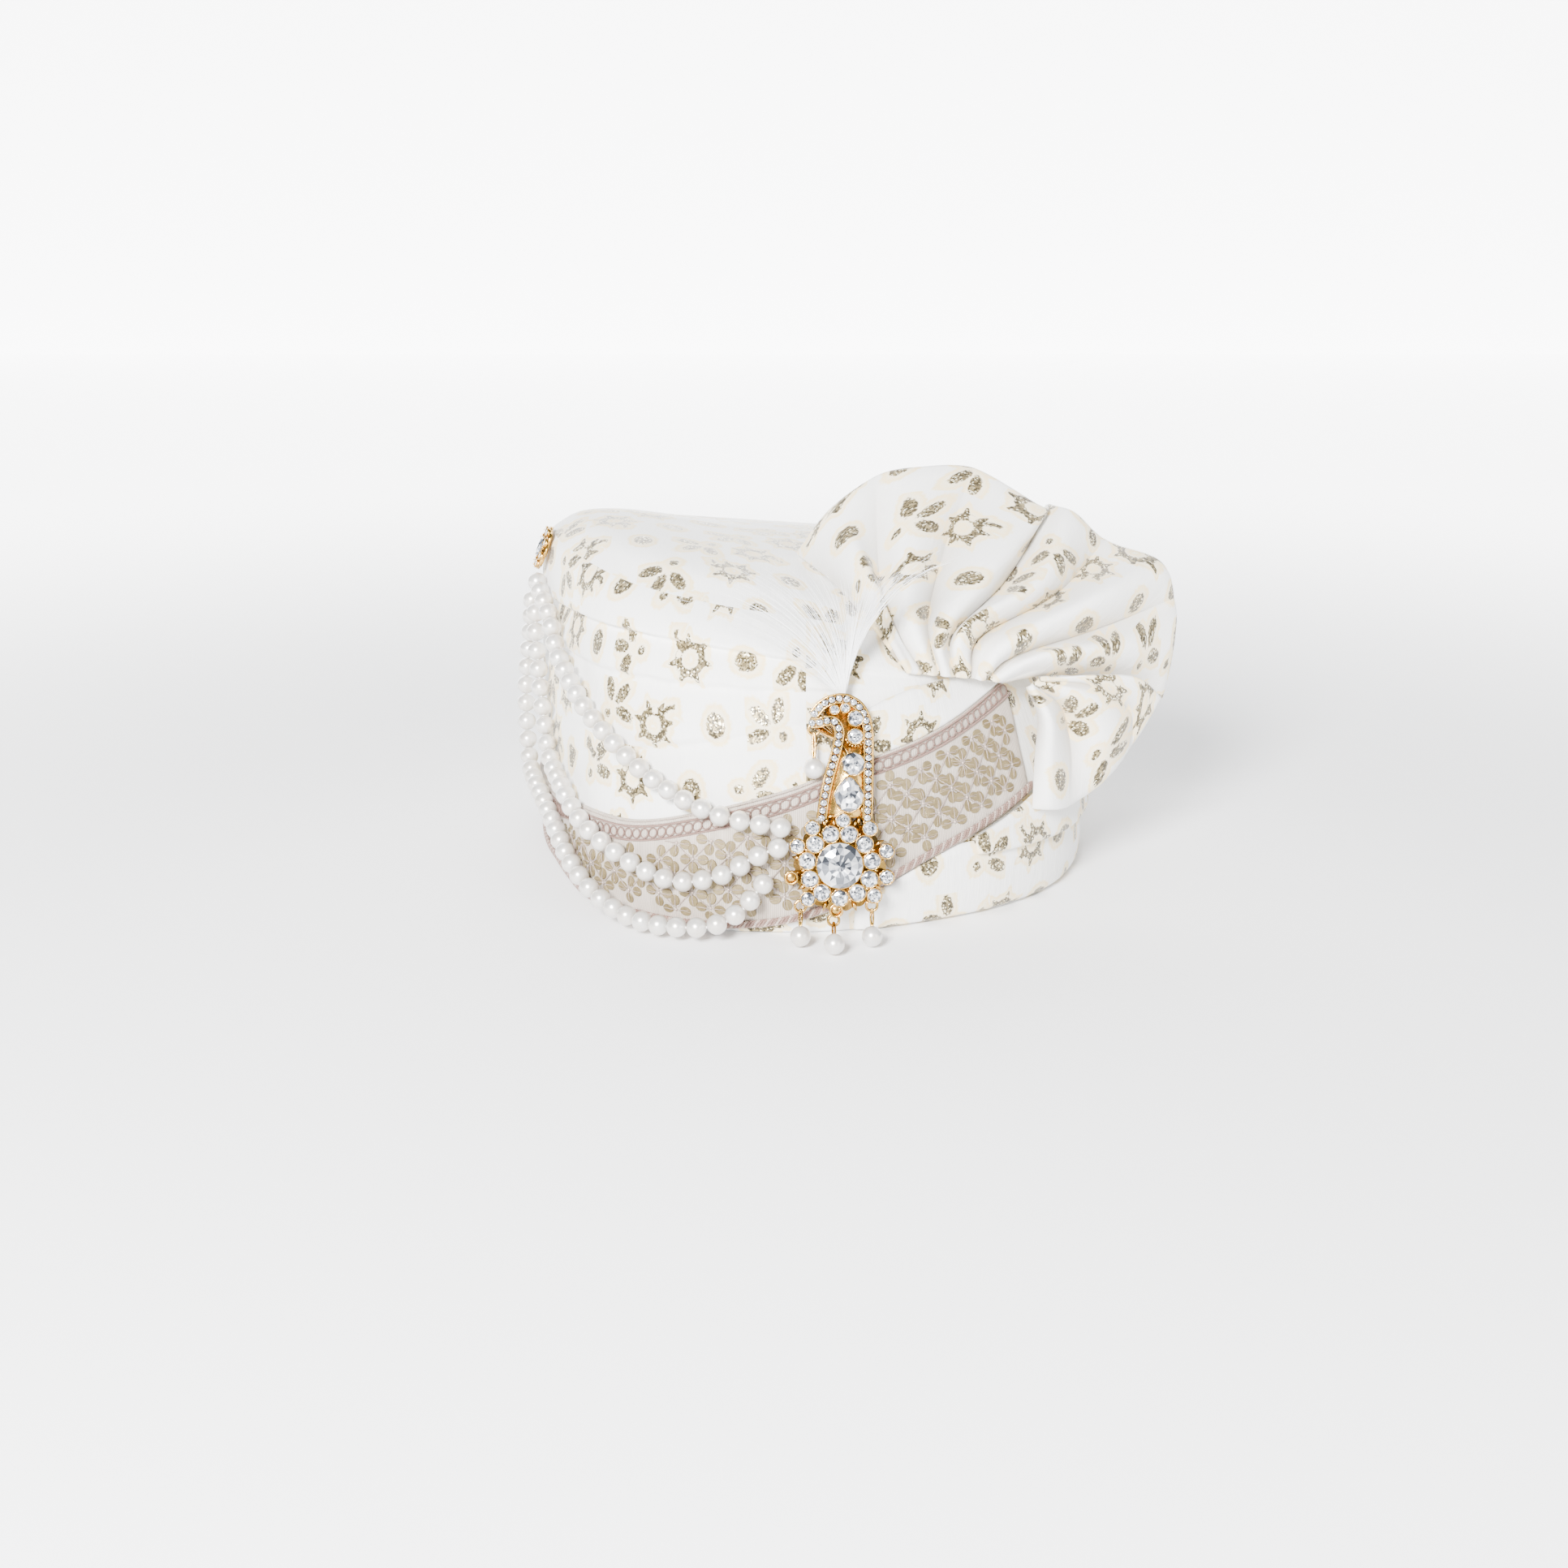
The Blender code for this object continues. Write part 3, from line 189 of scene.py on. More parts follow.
def woven(columns, rows, place, cloth, fold=None):
    """Bmesh of a grid laid on a surface: place(i, j) is a point, cloth(i, j, row) its place in the flat
    cloth, and fold(i, j) how deep in a fold it lies, 0 to 1, kept as the "fold" attribute for painted shade."""
    bm = bmesh.new()
    bmesh.ops.create_grid(bm, x_segments=columns, y_segments=rows, size=1)
    print_layer, folds = bm.loops.layers.uv.new("cloth"), bm.verts.layers.float.new("fold")
    spots = {v: (round((v.co.x + 1) / 2 * columns), round((v.co.y + 1) / 2 * rows)) for v in bm.verts}
    for face in bm.faces:
        row = min(spots[v][1] for v in face.verts)
        for loop in face.loops:
            loop[print_layer].uv = cloth(*spots[loop.vert], row)
    for vert, spot in spots.items():
        vert.co = place(*spot)
        vert[folds] = fold(*spot) if fold else 0.0
    bmesh.ops.remove_doubles(bm, verts=bm.verts, dist=0.001)
    return bm


def made(name, bm, *paints):
    """Object of a bmesh in millimetres round the crown's axis, riding on the part's body."""
    bmesh.ops.transform(bm, matrix=Matrix.Translation(AXIS) @ Matrix.Scale(MM, 4), verts=bm.verts)
    for face in bm.faces:
        face.smooth = True
    mesh = bpy.data.meshes.new(name)
    bm.to_mesh(mesh)
    bm.free()
    obj = bpy.data.objects.new(name, mesh)
    bpy.context.scene.collection.objects.link(obj)
    for paint in paints:
        mesh.materials.append(paint)
    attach(obj, "root")
    return obj


class Sock:
    """A shader socket that does arithmetic; node() adds any other kind of node to its tree."""

    def __init__(self, tree, socket=None):
        self.tree, self.socket = tree, socket

    def node(self, kind, settings=None, inputs=None, out=0):
        added = self.tree.nodes.new(kind)
        for key, value in (settings or {}).items():
            setattr(added, key, value)
        for key, value in (inputs or {}).items():
            if isinstance(value, Sock):
                self.tree.links.new(value.socket, added.inputs[key])
            else:
                added.inputs[key].default_value = value
        return Sock(self.tree, added.outputs[out])

    def math(self, operation, *values):
        return self.node("ShaderNodeMath", {"operation": operation}, dict(enumerate(values)))

    def __add__(self, other):
        return self.math("ADD", self, other)

    def __radd__(self, other):
        return self.math("ADD", other, self)

    def __sub__(self, other):
        return self.math("SUBTRACT", self, other)

    def __rsub__(self, other):
        return self.math("SUBTRACT", other, self)

    def __mul__(self, other):
        return self.math("MULTIPLY", self, other)

    def __rmul__(self, other):
        return self.math("MULTIPLY", other, self)

    def __truediv__(self, other):
        return self.math("DIVIDE", self, other)

    def smooth(self, low, high):
        """0 below low, 1 above high, eased between."""
        eased = {"interpolation_type": "SMOOTHSTEP"}
        return self.node("ShaderNodeMapRange", eased, {0: self, 1: low, 2: high})

    def mix(self, first, second):
        """Colour that goes from first to second as this goes from 0 to 1."""
        return self.node("ShaderNodeMix", {"data_type": "RGBA"}, {0: self, 6: first, 7: second}, 2)

    def steps(self, stops):
        """Colour of the last stop (place, colour) that this has passed."""
        ramp = self.node("ShaderNodeValToRGB", None, {"Fac": self})
        elements = ramp.socket.node.color_ramp.elements
        elements.remove(elements[1])
        for place, colour in stops:
            stop = elements.new(place) if place else elements[0]
            stop.color = colour
        ramp.socket.node.color_ramp.interpolation = "CONSTANT"
        return ramp

    def parts(self):
        split = self.node("ShaderNodeSeparateXYZ", None, {0: self}).socket.node
        return [Sock(self.tree, out) for out in split.outputs]

    def sine(self):
        return self.math("SINE", self)

    def size(self):
        return self.math("ABSOLUTE", self)

    def hypot(self, other):
        square = self * self + other * other
        return square.math("SQRT", square)

    def vector(self, y=0.0, z=0.0):
        return self.node("ShaderNodeCombineXYZ", None, {0: self, 1: y, 2: z})

    def noise(self, scale, detail=2.0):
        return self.node("ShaderNodeTexNoise", None, {"Vector": self, "Scale": scale, "Detail": detail})


def painted(name, **sockets):
    """Material with its own Principled shader; sockets are set by their names with _ for a space."""
    material = bpy.data.materials.new(name)
    material.use_nodes = True
    tree = material.node_tree
    for key, value in sockets.items():
        tree.nodes["Principled BSDF"].inputs[key.replace("_", " ")].default_value = value
    return material, Sock(tree)


def connect(base, **sockets):
    """Links sockets of a material's Principled shader by their names with _ for a space."""
    shader = base.tree.nodes["Principled BSDF"]
    for key, value in sockets.items():
        base.tree.links.new(value.socket, shader.inputs[key.replace("_", " ")])


def bumps(base, height, distance, strength=1.0):
    return base.node("ShaderNodeBump", None, {"Strength": strength, "Distance": distance, "Height": height})


def print_distance(flat):
    """Distance in millimetres from the nearest printed shape, less than 0 inside it."""
    x, y, _ = flat.parts()
    across, up = x / PRINT_CELL, y / PRINT_CELL
    row = up.math("FLOOR", up)
    shifted = across + row * 0.5
    column = shifted.math("FLOOR", shifted)
    cell = {"Vector": column.vector(row, 3.7)}
    first, second, third = column.node("ShaderNodeTexWhiteNoise", {"noise_dimensions": "3D"}, cell, 1).parts()
    px = (shifted - column - 0.5 + (first - 0.5) * PRINT_JITTER) * PRINT_CELL
    py = (up - row - 0.5 + (second - 0.5) * PRINT_JITTER) * PRINT_CELL
    turn = third * 2 * math.pi
    cosine, sine = turn.math("COSINE", turn), turn.sine()
    x, y = px * cosine - py * sine, px * sine + py * cosine
    dot = ((x / 3.4).hypot(y / 4.4) - 1) * 3.8
    reach, angle = x.hypot(y), x.math("ARCTAN2", x, y)
    slot = (angle / 1.13).math("ROUND", angle / 1.13)
    slot = slot.math("MINIMUM", slot.math("MAXIMUM", slot, -1.0), 1.0)
    off = angle - slot * 1.13
    petal_x, petal_y = reach * off.sine(), reach * off.math("COSINE", off) - 6.8
    petal = ((petal_x / 2.2).hypot(petal_y / 4.3) - 1) * 2.6
    petals = petal.math("MINIMUM", petal, x.hypot(y + 4.0) - 1.6)
    ring_x, ring_y = x + 1.5, y + 1.0
    reach, angle = ring_x.hypot(ring_y), ring_x.math("ARCTAN2", ring_y, ring_x) * 7
    spike = angle.math("MAXIMUM", angle.math("COSINE", angle), 0.0)
    ring = reach.math("MAXIMUM", 3.5 - reach, reach - spike * spike * 2.8 - 6.1)
    ring = ring.math("MAXIMUM", ring, 1.4 - (ring_x - 1.5).hypot(ring_y - 5.0))
    tail = (x - 8.0).hypot(y + 3.0) - 7.4
    tail = tail.math("MAXIMUM", tail.size() - 1.0 + y * 0.06, tail.math("MAXIMUM", 1.5 - y, x - 8.5))
    paisley = ring.math("MINIMUM", ring, tail)
    kind = (column + row * 2).math("FLOORED_MODULO", column + row * 2, 3.0)
    is_dot = kind.math("LESS_THAN", kind, 0.5)
    is_paisley = kind.math("GREATER_THAN", kind, 1.5)
    return dot * is_dot + paisley * is_paisley + petals * (1 - is_dot - is_paisley)


def velvet(name, white):
    """Printed white velvet: fine pile in upright lines, glitter shapes with a painted glint, their cream
    halo, and painted shade in pleat valleys.
    """
    pile_shine = {"Sheen_Weight": 0.35, "Sheen_Roughness": 0.45, "Specular_IOR_Level": 0.25}
    material, base = painted(name, Roughness=0.85, **pile_shine)
    flat = base.node("ShaderNodeUVMap", {"uv_map": "cloth"})
    x, y, _ = flat.parts()
    rough = flat.noise(0.9, 3.0)
    distance = print_distance(flat) + (rough - 0.5) * 2.2
    print_mask = 1 - distance.smooth(-0.15, 0.3)
    spread = distance + (flat.noise(0.22) - 0.5) * 2.5
    halo = (1 - spread.smooth(2.0, 3.4)) * (0.6 + 0.4 * spread.smooth(0.6, 2.4))
    grains = {"Vector": flat, "Scale": 1.9}
    # Each glitter fleck takes a random step of gold, dark to bright: a painted glint.
    speck = flat.node("ShaderNodeTexVoronoi", {"voronoi_dimensions": "2D"}, grains, "Color").parts()[0]
    glitter = speck.steps(GLITTER_GLINT_STOPS)
    pile = (x * 1.6).vector(y * 0.16).noise(1.0, 3.0)
    cloud = flat.noise(0.035, 2.0)
    cream = (0.86, 0.68, 0.35, 1)
    shade = tuple(0.955 * share for share in white[:3]) + (1,)
    plain = (pile * 0.6 + cloud * 0.5).smooth(0.35, 0.75).mix(shade, white)
    # Painted shade: the "fold" attribute darkens the velvet towards warm beige deep in the pleat valleys.
    fold = base.node("ShaderNodeAttribute", {"attribute_name": "fold"}, None, 2)
    plain = fold.mix(plain, (0.27, 0.205, 0.12, 1))
    colour = print_mask.mix((halo * 0.95).mix(plain, cream), glitter)
    crepe = (x * 0.45).vector(y * 0.08).noise(1.0, 2.0)
    height = pile * 0.35 + crepe * 0.9 + print_mask * (speck * 0.5 + 0.4)
    connect(
        base,
        Base_Color=colour,
        Roughness=0.86 - print_mask * 0.5,
        Metallic=print_mask * speck * 0.45,
        Normal=bumps(base, height, 0.0006, 0.55),
    )
    return material


white_velvet = velvet("white_velvet", (0.87, 0.865, 0.845, 1))


def crown_rows():
    """Rows (kind, value) of the crown's grid from the hollow's top, down, over the rim and up the outside."""
    rows = [("hollow", 1 - j / HOLLOW_ROWS) for j in range(HOLLOW_ROWS + 1)]
    rows += [("rim", share) for share in (0.3, 0.6, 0.85)]
    rows += [("foot", share) for share in (0.0, 0.5)]
    rows += [("wall", 0.04 + 3.96 * j / WALL_ROWS) for j in range(WALL_ROWS + 1)]
    return rows + [("wall", 4 + 2 * (j + 1) / TOP_ROWS) for j in range(TOP_ROWS)]


ROWS = crown_rows()
TOP_START = len(ROWS) - TOP_ROWS - 6


def hollow_ring(azimuth, rise):
    share = (1 - math.sin(math.pi / 2 * rise) ** 3) ** (1 / 3)
    share *= 1 + (RIM_LIP / HEAD[0] if rise == 0 else 0)
    a = math.radians(azimuth)
    high = HEAD[2] * math.sin(math.pi / 2 * rise)
    return np.array((HEAD[0] * share * math.sin(a), -HEAD[1] * share * math.cos(a), high))


def crown_place(i, j):
    azimuth = round((360 * i / CROWN_COLUMNS) % 360, 3)
    kind, value = ROWS[j]
    if kind == "hollow":
        return hollow_ring(azimuth, value)
    foot = section(azimuth)[0][0]
    if kind == "rim":
        return hollow_ring(azimuth, 0) * (1 - value) + turned(azimuth, foot - 1.6, 0) * value
    if kind == "foot":
        return turned(azimuth, foot - 1.6 + value * 1.2, 0.1 + value * 0.6)
    radius, z = through(section(azimuth), value)
    share = max(0, 1 - pressed(azimuth, z) / max(radius, 1))
    return turned(azimuth, radius * share, z)


def crown_cloth(i, j, row):
    if row >= TOP_START:
        x, y, _ = crown_place(i, j)
        return x + 500, y + 500
    kind, value = ROWS[j]
    height = through(section(round((360 * i / CROWN_COLUMNS) % 360, 3)), value)[1] if kind == "wall" else 0
    return 360 * i / CROWN_COLUMNS / 57.3 * CROWN_RADIUS + height * 0.12 + 7, height + 4


crown_grid = woven(CROWN_COLUMNS, len(ROWS) - 1, crown_place, crown_cloth)
crown = made("crown", crown_grid, white_velvet)
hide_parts("crown_wrap")

# Smooth velvet layers: the lower right side is wrapped twice more below the band, and one layer fills the
# corner under the fan's pinch. Each is a cut sheet of the same printed velvet, pulled tight and pinned.
SEAT = 0.45
LAYER_THICK = 2.2
BRAID_HIGH_HALF = (2.4, 0.9)
BRAID_LOW_HALF = (1.25, 0.9)
BRAID_GAP = 0.4
BAND_COLUMNS = ("azimuth", "low", "high")
BAND = (
    (150, 0.031, 0.194),
    (210, 0.031, 0.194),
    (270, 0.031, 0.194),
    (285, 0.031, 0.198),
    (300, 0.031, 0.217),
    (315, 0.031, 0.256),
    (330, 0.031, 0.264),
    (345, 0.034, 0.326),
    (358, 0.062, 0.391),
    (370, 0.136, 0.465),
    (382, 0.221, 0.516),
    (395, 0.291, 0.574),
    (408, 0.357, 0.636),
)
LOWER_WRAP_SPAN = (8.0, 151.0)
LOWER_WRAP_FOOT = 0.8
LOWER_WRAP_LAP = 0.031
LOWER_WRAP_RISE = 0.023
UPPER_WRAP_SPAN = (30.0, 102.0)
UPPER_WRAP_FOOT = 0.194
UPPER_WRAP_SAG = 0.023
UPPER_WRAP_FALL = 0.34
UPPER_WRAP_LEAST = 0.008
FRONT_LAYER_SPAN = (9.0, 47.0)
FRONT_LAYER_DIP = 0.054
FRONT_LAYER_LIFT = 0.012
PINCH_RIGHT = (0.608, -0.746, 0.674)


def band_low(azimuth):
    return by_azimuth(BAND, azimuth if azimuth > 100 else azimuth + 360, False)[0] * CROWN_HEIGHT


def band_high(azimuth):
    return by_azimuth(BAND, azimuth if azimuth > 100 else azimuth + 360, False)[1] * CROWN_HEIGHT


def below_band(azimuth):
    end = BAND[-1][0] - 360
    fall = max(0, azimuth - end) * UPPER_WRAP_FALL
    return band_low(min(azimuth, end)) - BRAID_LOW_HALF[0] - 2 * BRAID_GAP - fall


def upper_top(azimuth):
    return max(below_band(azimuth), (UPPER_WRAP_FOOT + UPPER_WRAP_LEAST) * CROWN_HEIGHT)


def lower_top(azimuth):
    rise = UPPER_WRAP_FOOT + LOWER_WRAP_LAP + LOWER_WRAP_RISE * math.sin(math.radians(azimuth))
    return min(below_band(min(azimuth, 60)), rise * CROWN_HEIGHT)


def upper_foot(azimuth):
    away = (azimuth - UPPER_WRAP_SPAN[0]) / (UPPER_WRAP_SPAN[1] - UPPER_WRAP_SPAN[0])
    return (UPPER_WRAP_FOOT - UPPER_WRAP_SAG * math.sin(math.pi * away)) * CROWN_HEIGHT


def front_top(azimuth):
    away = (azimuth - FRONT_LAYER_SPAN[0]) / (FRONT_LAYER_SPAN[1] - FRONT_LAYER_SPAN[0])
    lift = FRONT_LAYER_LIFT * math.sin(math.pi * away) - FRONT_LAYER_DIP * (1 - away) ** 6
    return (PINCH_RIGHT[2] + lift) * CROWN_HEIGHT


def wound(name, span, low, high, off, thick, shape, paint, waves=()):
    """Sheet wound over the crown between two heights, with dents: waves (height, depth, sharpness, lean)."""
    columns, rows = shape

    def place(i, j):
        azimuth = span[0] + (span[1] - span[0]) * i / columns
        share = j / rows
        z = low(azimuth) * (1 - share) + high(azimuth) * share
        rolled = min(1, min(share, 1 - share) * rows / 1.6, min(i, columns - i) / 1.5)
        dent = 0.0
        for middle, depth, sharp, lean in waves:
            dent += depth * math.exp(-(((share - middle - lean * i / columns) * sharp) ** 2))
        return wall(azimuth, z, off + thick - 0.7 * thick * (1 - rolled) ** 2 - dent)

    def cloth(i, j, row):
        azimuth = span[0] + (span[1] - span[0]) * i / columns
        share = j / rows
        height = low(azimuth) * (1 - share) + high(azimuth) * share
        return math.radians(azimuth) * CROWN_RADIUS + 900, height + 333

    obj = made(name, woven(columns, rows, place, cloth), paint)
    thickened(obj, thick)
    return obj


def thickened(obj, thick, side=-1):
    """Gives a sheet its thickness, inwards or to both sides (0), and rounds it."""
    solid = obj.modifiers.new("thickness", "SOLIDIFY")
    solid.thickness = thick * MM
    solid.offset = side
    soft = obj.modifiers.new("rounding", "SUBSURF")
    soft.levels = soft.render_levels = 1


lower_wrap = wound(
    "lower_wrap_cloth",
    LOWER_WRAP_SPAN,
    lambda a: LOWER_WRAP_FOOT,
    lower_top,
    SEAT,
    LAYER_THICK,
    (150, 16),
    white_velvet,
    ((0.45, 0.9, 5.0, 0.1), (0.75, 0.5, 9.0, -0.1)),
)
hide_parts("lower_wrap")

upper_wrap = wound(
    "upper_wrap_cloth",
    UPPER_WRAP_SPAN,
    upper_foot,
    upper_top,
    2 * SEAT + LAYER_THICK,
    LAYER_THICK,
    (100, 14),
    white_velvet,
    ((0.5, 0.5, 5.0, -0.1),),
)
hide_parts("upper_wrap")

front_layer = wound(
    "front_layer_cloth",
    FRONT_LAYER_SPAN,
    lambda a: band_high(a) + BRAID_HIGH_HALF[0] + 2 * BRAID_GAP,
    front_top,
    SEAT,
    LAYER_THICK,
    (70, 16),
    white_velvet,
    ((0.35, 0.5, 6.0, 0.1),),
)
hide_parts("front_layer")

# Fan and its tail: one starched end of the velvet, pinched by the band's end, pleated like a hand fan and
# left standing; the loose corner of the same cloth falls over the band's end. Its pleats are rounded and
# meet in sharp valleys, with small folds where they are gathered.
FAN_COLUMNS = ("mid_x", "mid_y", "mid_z", "outer_x", "outer_y", "outer_z", "tip_x", "tip_y", "tip_z")
FAN_RIBS = (
    (0.24, -0.817, 0.806, 0.103, -0.683, 0.936, -0.025, -0.367, 0.984),
    (0.267, -0.792, 0.833, 0.175, -0.617, 1.008, 0.079, -0.4, 1.12),
    (0.268, -0.717, 0.837, 0.233, -0.575, 0.953, 0.225, -0.342, 1.213),
    (0.323, -0.775, 0.857, 0.319, -0.617, 1.008, 0.362, -0.333, 1.24),
    (0.382, -0.692, 0.841, 0.431, -0.525, 0.992, 0.55, -0.283, 1.233),
    (0.415, -0.8, 0.826, 0.562, -0.642, 0.977, 0.762, -0.367, 1.128),
    (0.457, -0.692, 0.802, 0.642, -0.5, 0.934, 0.804, -0.25, 1.12),
    (0.49, -0.792, 0.845, 0.73, -0.625, 0.95, 0.871, -0.367, 1.109),
    (0.543, -0.692, 0.795, 0.8, -0.517, 0.891, 0.983, -0.308, 1.019),
    (0.616, -0.792, 0.797, 0.892, -0.658, 0.895, 1.142, -0.433, 0.973),
    (0.652, -0.708, 0.742, 0.935, -0.55, 0.795, 1.204, -0.383, 0.853),
    (0.742, -0.758, 0.753, 0.978, -0.642, 0.753, 1.196, -0.467, 0.736),
    (0.775, -0.667, 0.682, 0.996, -0.5, 0.62, 1.183, -0.383, 0.535),
)
PINCH_LEFT = (0.308, -0.85, 0.721)
PINCH_DEPTH = 0.9
PLEAT_THICK = 1.8
TAIL_RIBS = (
    (0.731, -0.723, 0.566, 0.725, -0.734, 0.434, 0.716, -0.773, 0.295),
    (0.758, -0.775, 0.57, 0.765, -0.765, 0.442, 0.767, -0.783, 0.295),
    (0.808, -0.658, 0.574, 0.842, -0.663, 0.446, 0.838, -0.717, 0.287),
    (0.863, -0.717, 0.612, 0.94, -0.667, 0.492, 0.929, -0.642, 0.318),
    (0.892, -0.717, 0.655, 1.033, -0.6, 0.558, 1.058, -0.533, 0.426),
    (0.887, -0.733, 0.69, 1.046, -0.658, 0.667, 1.146, -0.558, 0.585),
)
TAIL_LEFT = (0.692, -0.733, 0.655)
TAIL_RIGHT = (0.729, -0.754, 0.686)


def spot(shares):
    return np.asarray(shares, float).reshape(-1, 3) * (CROWN_RADIUS, CROWN_RADIUS, CROWN_HEIGHT)


def pleated(name, ribs, left, right, shape, lap, small_folds, paint):
    """Pleated sheet through the ribs; lap narrows the valleys, small_folds (count, depth) gather its root."""
    left, right = spot(left)[0], spot(right)[0]
    last = len(ribs) - 1
    per_rib, rows = shape
    columns = last * per_rib
    lines = []
    for k, rib in enumerate(ribs):
        root = left + (right - left) * k / last
        root[1] -= PINCH_DEPTH if k % 2 else -PINCH_DEPTH
        lines.append(np.vstack([root, spot(rib)]))
    grid = np.zeros((rows + 1, columns + 1, 3))
    for j in range(rows + 1):
        share = j / rows
        stations = np.array([through(line, 3 * share) for line in lines])
        for i in range(columns + 1):
            k, along = divmod(i / per_rib, 1)
            k = int(k)
            if k == last:
                k, along = last - 1, 1.0
            near = along**lap if k % 2 else 1 - (1 - along) ** lap
            smooth = through(stations, i / per_rib)
            deep = stations[k][1] * (1 - near) + stations[k + 1][1] * near
            grid[j, i] = smooth[0], smooth[1] * 0.25 + deep * 0.75, smooth[2]
            count, depth = small_folds
            fold = math.sin(2 * math.pi * count * i / columns + 1.3 * math.sin(3.1 * i / per_rib))
            grid[j, i][1] += depth * fold * math.exp(-(((share - 0.22) / 0.2) ** 2))
    grid[1:-1] = (grid[:-2] + 2 * grid[1:-1] + grid[2:]) / 4
    for j in (rows - 1, rows):
        grid[j] += (0, 0.7 * (j - rows + 2), 0)
    out = np.linalg.norm(np.diff(grid, axis=0), axis=2).mean(axis=1)
    reach = np.concatenate([[0], np.cumsum(out)])
    width = np.linalg.norm(np.diff(grid[rows * 2 // 3], axis=0), axis=1)
    across = np.concatenate([[0], np.cumsum(width)])

    def cloth(i, j, row):
        return across[i] * (0.35 + 0.65 * j / rows) + 400 + 0.3 * across[-1] * (1 - j / rows), reach[j] + 80

    # How deep in a pleat valley a point lies, fading towards the rim: the velvet paints shade by it.
    def fold(i, j):
        k, along = divmod(i / per_rib, 1)
        down = along if k % 2 else 1 - along
        return down**2.1 * (1 - j / rows) ** 0.6

    obj = made(name, woven(columns, rows, lambda i, j: grid[j, i], cloth, fold), paint)
    thickened(obj, PLEAT_THICK, 0)
    return obj


fan_velvet = velvet("fan_velvet", (0.86, 0.855, 0.835, 1))
fan = pleated("fan_cloth", FAN_RIBS, PINCH_LEFT, PINCH_RIGHT, (16, 60), 2.1, (14, 1.1), fan_velvet)
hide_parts("fan")

tail = pleated("tail_cloth", TAIL_RIBS, TAIL_LEFT, TAIL_RIGHT, (14, 50), 1.7, (5, 0.4), fan_velvet)
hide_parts("fan_tail")

# Sequin band: off-white ribbed cloth with a rose tinge, its foot turned under in a plain hem and a pale tape
# along its head. Flat oval sequins are sewn on in flowers of four, joined by dotted lattice threads.
BAND_THICK = 1.4
BAND_END_TRIM = 2.0
BAND_SPAN = (BAND[0][0] + BAND_END_TRIM, BAND[-1][0] - BAND_END_TRIM)
FLOWER_PITCH = 12.6
SEQUIN = 4.3
SEQUIN_OFF = 3.3
SEQUIN_THICK = 0.3
SEQUIN_LEAN = 0.14
FLOWER_CLEAR = (4.0, 4.6)
SEQUIN_CLEAR = (3.2, 4.2)
HEM_FALL = 3.4
TAPE_RISE = 3.0


def ribbed(name, white, rose):
    """White cloth with fine upright ribs and a rose tinge."""
    material, base = painted(name, Roughness=0.8, Sheen_Weight=0.2, Specular_IOR_Level=0.3)
    flat = base.node("ShaderNodeUVMap", {"uv_map": "cloth"})
    x, y, _ = flat.parts()
    wander = (x * 0.3).vector(y * 0.06).noise(1.0, 2.0)
    rib = (x * 9.0 + wander * 9.0).sine()
    colour = (rib * 0.22 + wander * 0.8).smooth(0.1, 0.9).mix(rose, white)
    connect(base, Base_Color=colour, Normal=bumps(base, rib * 0.5 + wander, 0.0003, 0.5))
    return material


band_paint = ribbed("band_ribbed", (0.58, 0.51, 0.44, 1), (0.38, 0.32, 0.265, 1))
band = wound(
    "band_cloth",
    BAND_SPAN,
    lambda a: max(0.9, band_low(a) - HEM_FALL),
    lambda a: band_high(a) + BRAID_HIGH_HALF[0] + TAPE_RISE,
    SEAT - 0.3,
    BAND_THICK,
    (340, 26),
    band_paint,
    ((0.42, 0.35, 6.0, 0.0),),
)
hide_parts("sequin_band")


def on_wall(azimuth, z, off):
    """Matrix whose axes run along the cloth, up it and out of it."""
    middle = wall(azimuth, z, off)
    along = Vector(wall(azimuth + 0.5, z, off) - wall(azimuth - 0.5, z, off)).normalized()
    out = along.cross(Vector(wall(azimuth, z + 1, off) - wall(azimuth, z - 1, off))).normalized()
    turn = Matrix((along, out.cross(along), out)).transposed().to_4x4()
    return Matrix.Translation(Vector(middle)) @ turn


def flower_places():
    """Places (azimuth, z) of the sequin flowers by (column, row), every other column half a row up."""
    places = {}
    half_pitch = math.degrees(FLOWER_PITCH / CROWN_RADIUS) / 2
    for k in range(1, int((BAND_SPAN[1] - BAND_SPAN[0]) / half_pitch)):
        azimuth = BAND_SPAN[0] + k * half_pitch
        low, high = band_low(azimuth), band_high(azimuth)
        for row in range(-6, 7):
            z = (low + high) / 2 + (row + 0.5 * (k % 2)) * FLOWER_PITCH * 0.98
            if low + FLOWER_CLEAR[0] < z < high - FLOWER_CLEAR[1]:
                places[k, row] = (azimuth, z)
    return places


flowers = flower_places()
OUTSIDE = SEAT + BAND_THICK - 0.3
sequin_paint, base = painted("sequin_gold", Roughness=0.42, Metallic=0.35, Specular_IOR_Level=0.6)
flat = base.node("ShaderNodeUVMap", {"uv_map": "cloth"})
x, y, _ = flat.parts()
vein = y.size() - (x * 7.0 + y.size() * -9.0).sine().size() * 0.14
thread = 1 - vein.smooth(-0.02, 0.10)
grain = flat.noise(9.0, 3.0)
worn = (grain * 0.8 + flat.noise(0.7, 1.0) * 0.4).smooth(0.35, 0.85)
old_gold = worn.mix((0.12, 0.088, 0.035, 1), (0.27, 0.205, 0.095, 1))
connect(
    base,
    Base_Color=(thread * 0.4).mix(old_gold, (0.70, 0.58, 0.44, 1)),
    Normal=bumps(base, grain * 0.4 + thread * 0.8, 0.0004, 0.6),
)
sequins = bmesh.new()
sequin_uv = sequins.loops.layers.uv.new("cloth")
dice = random.Random(7103)
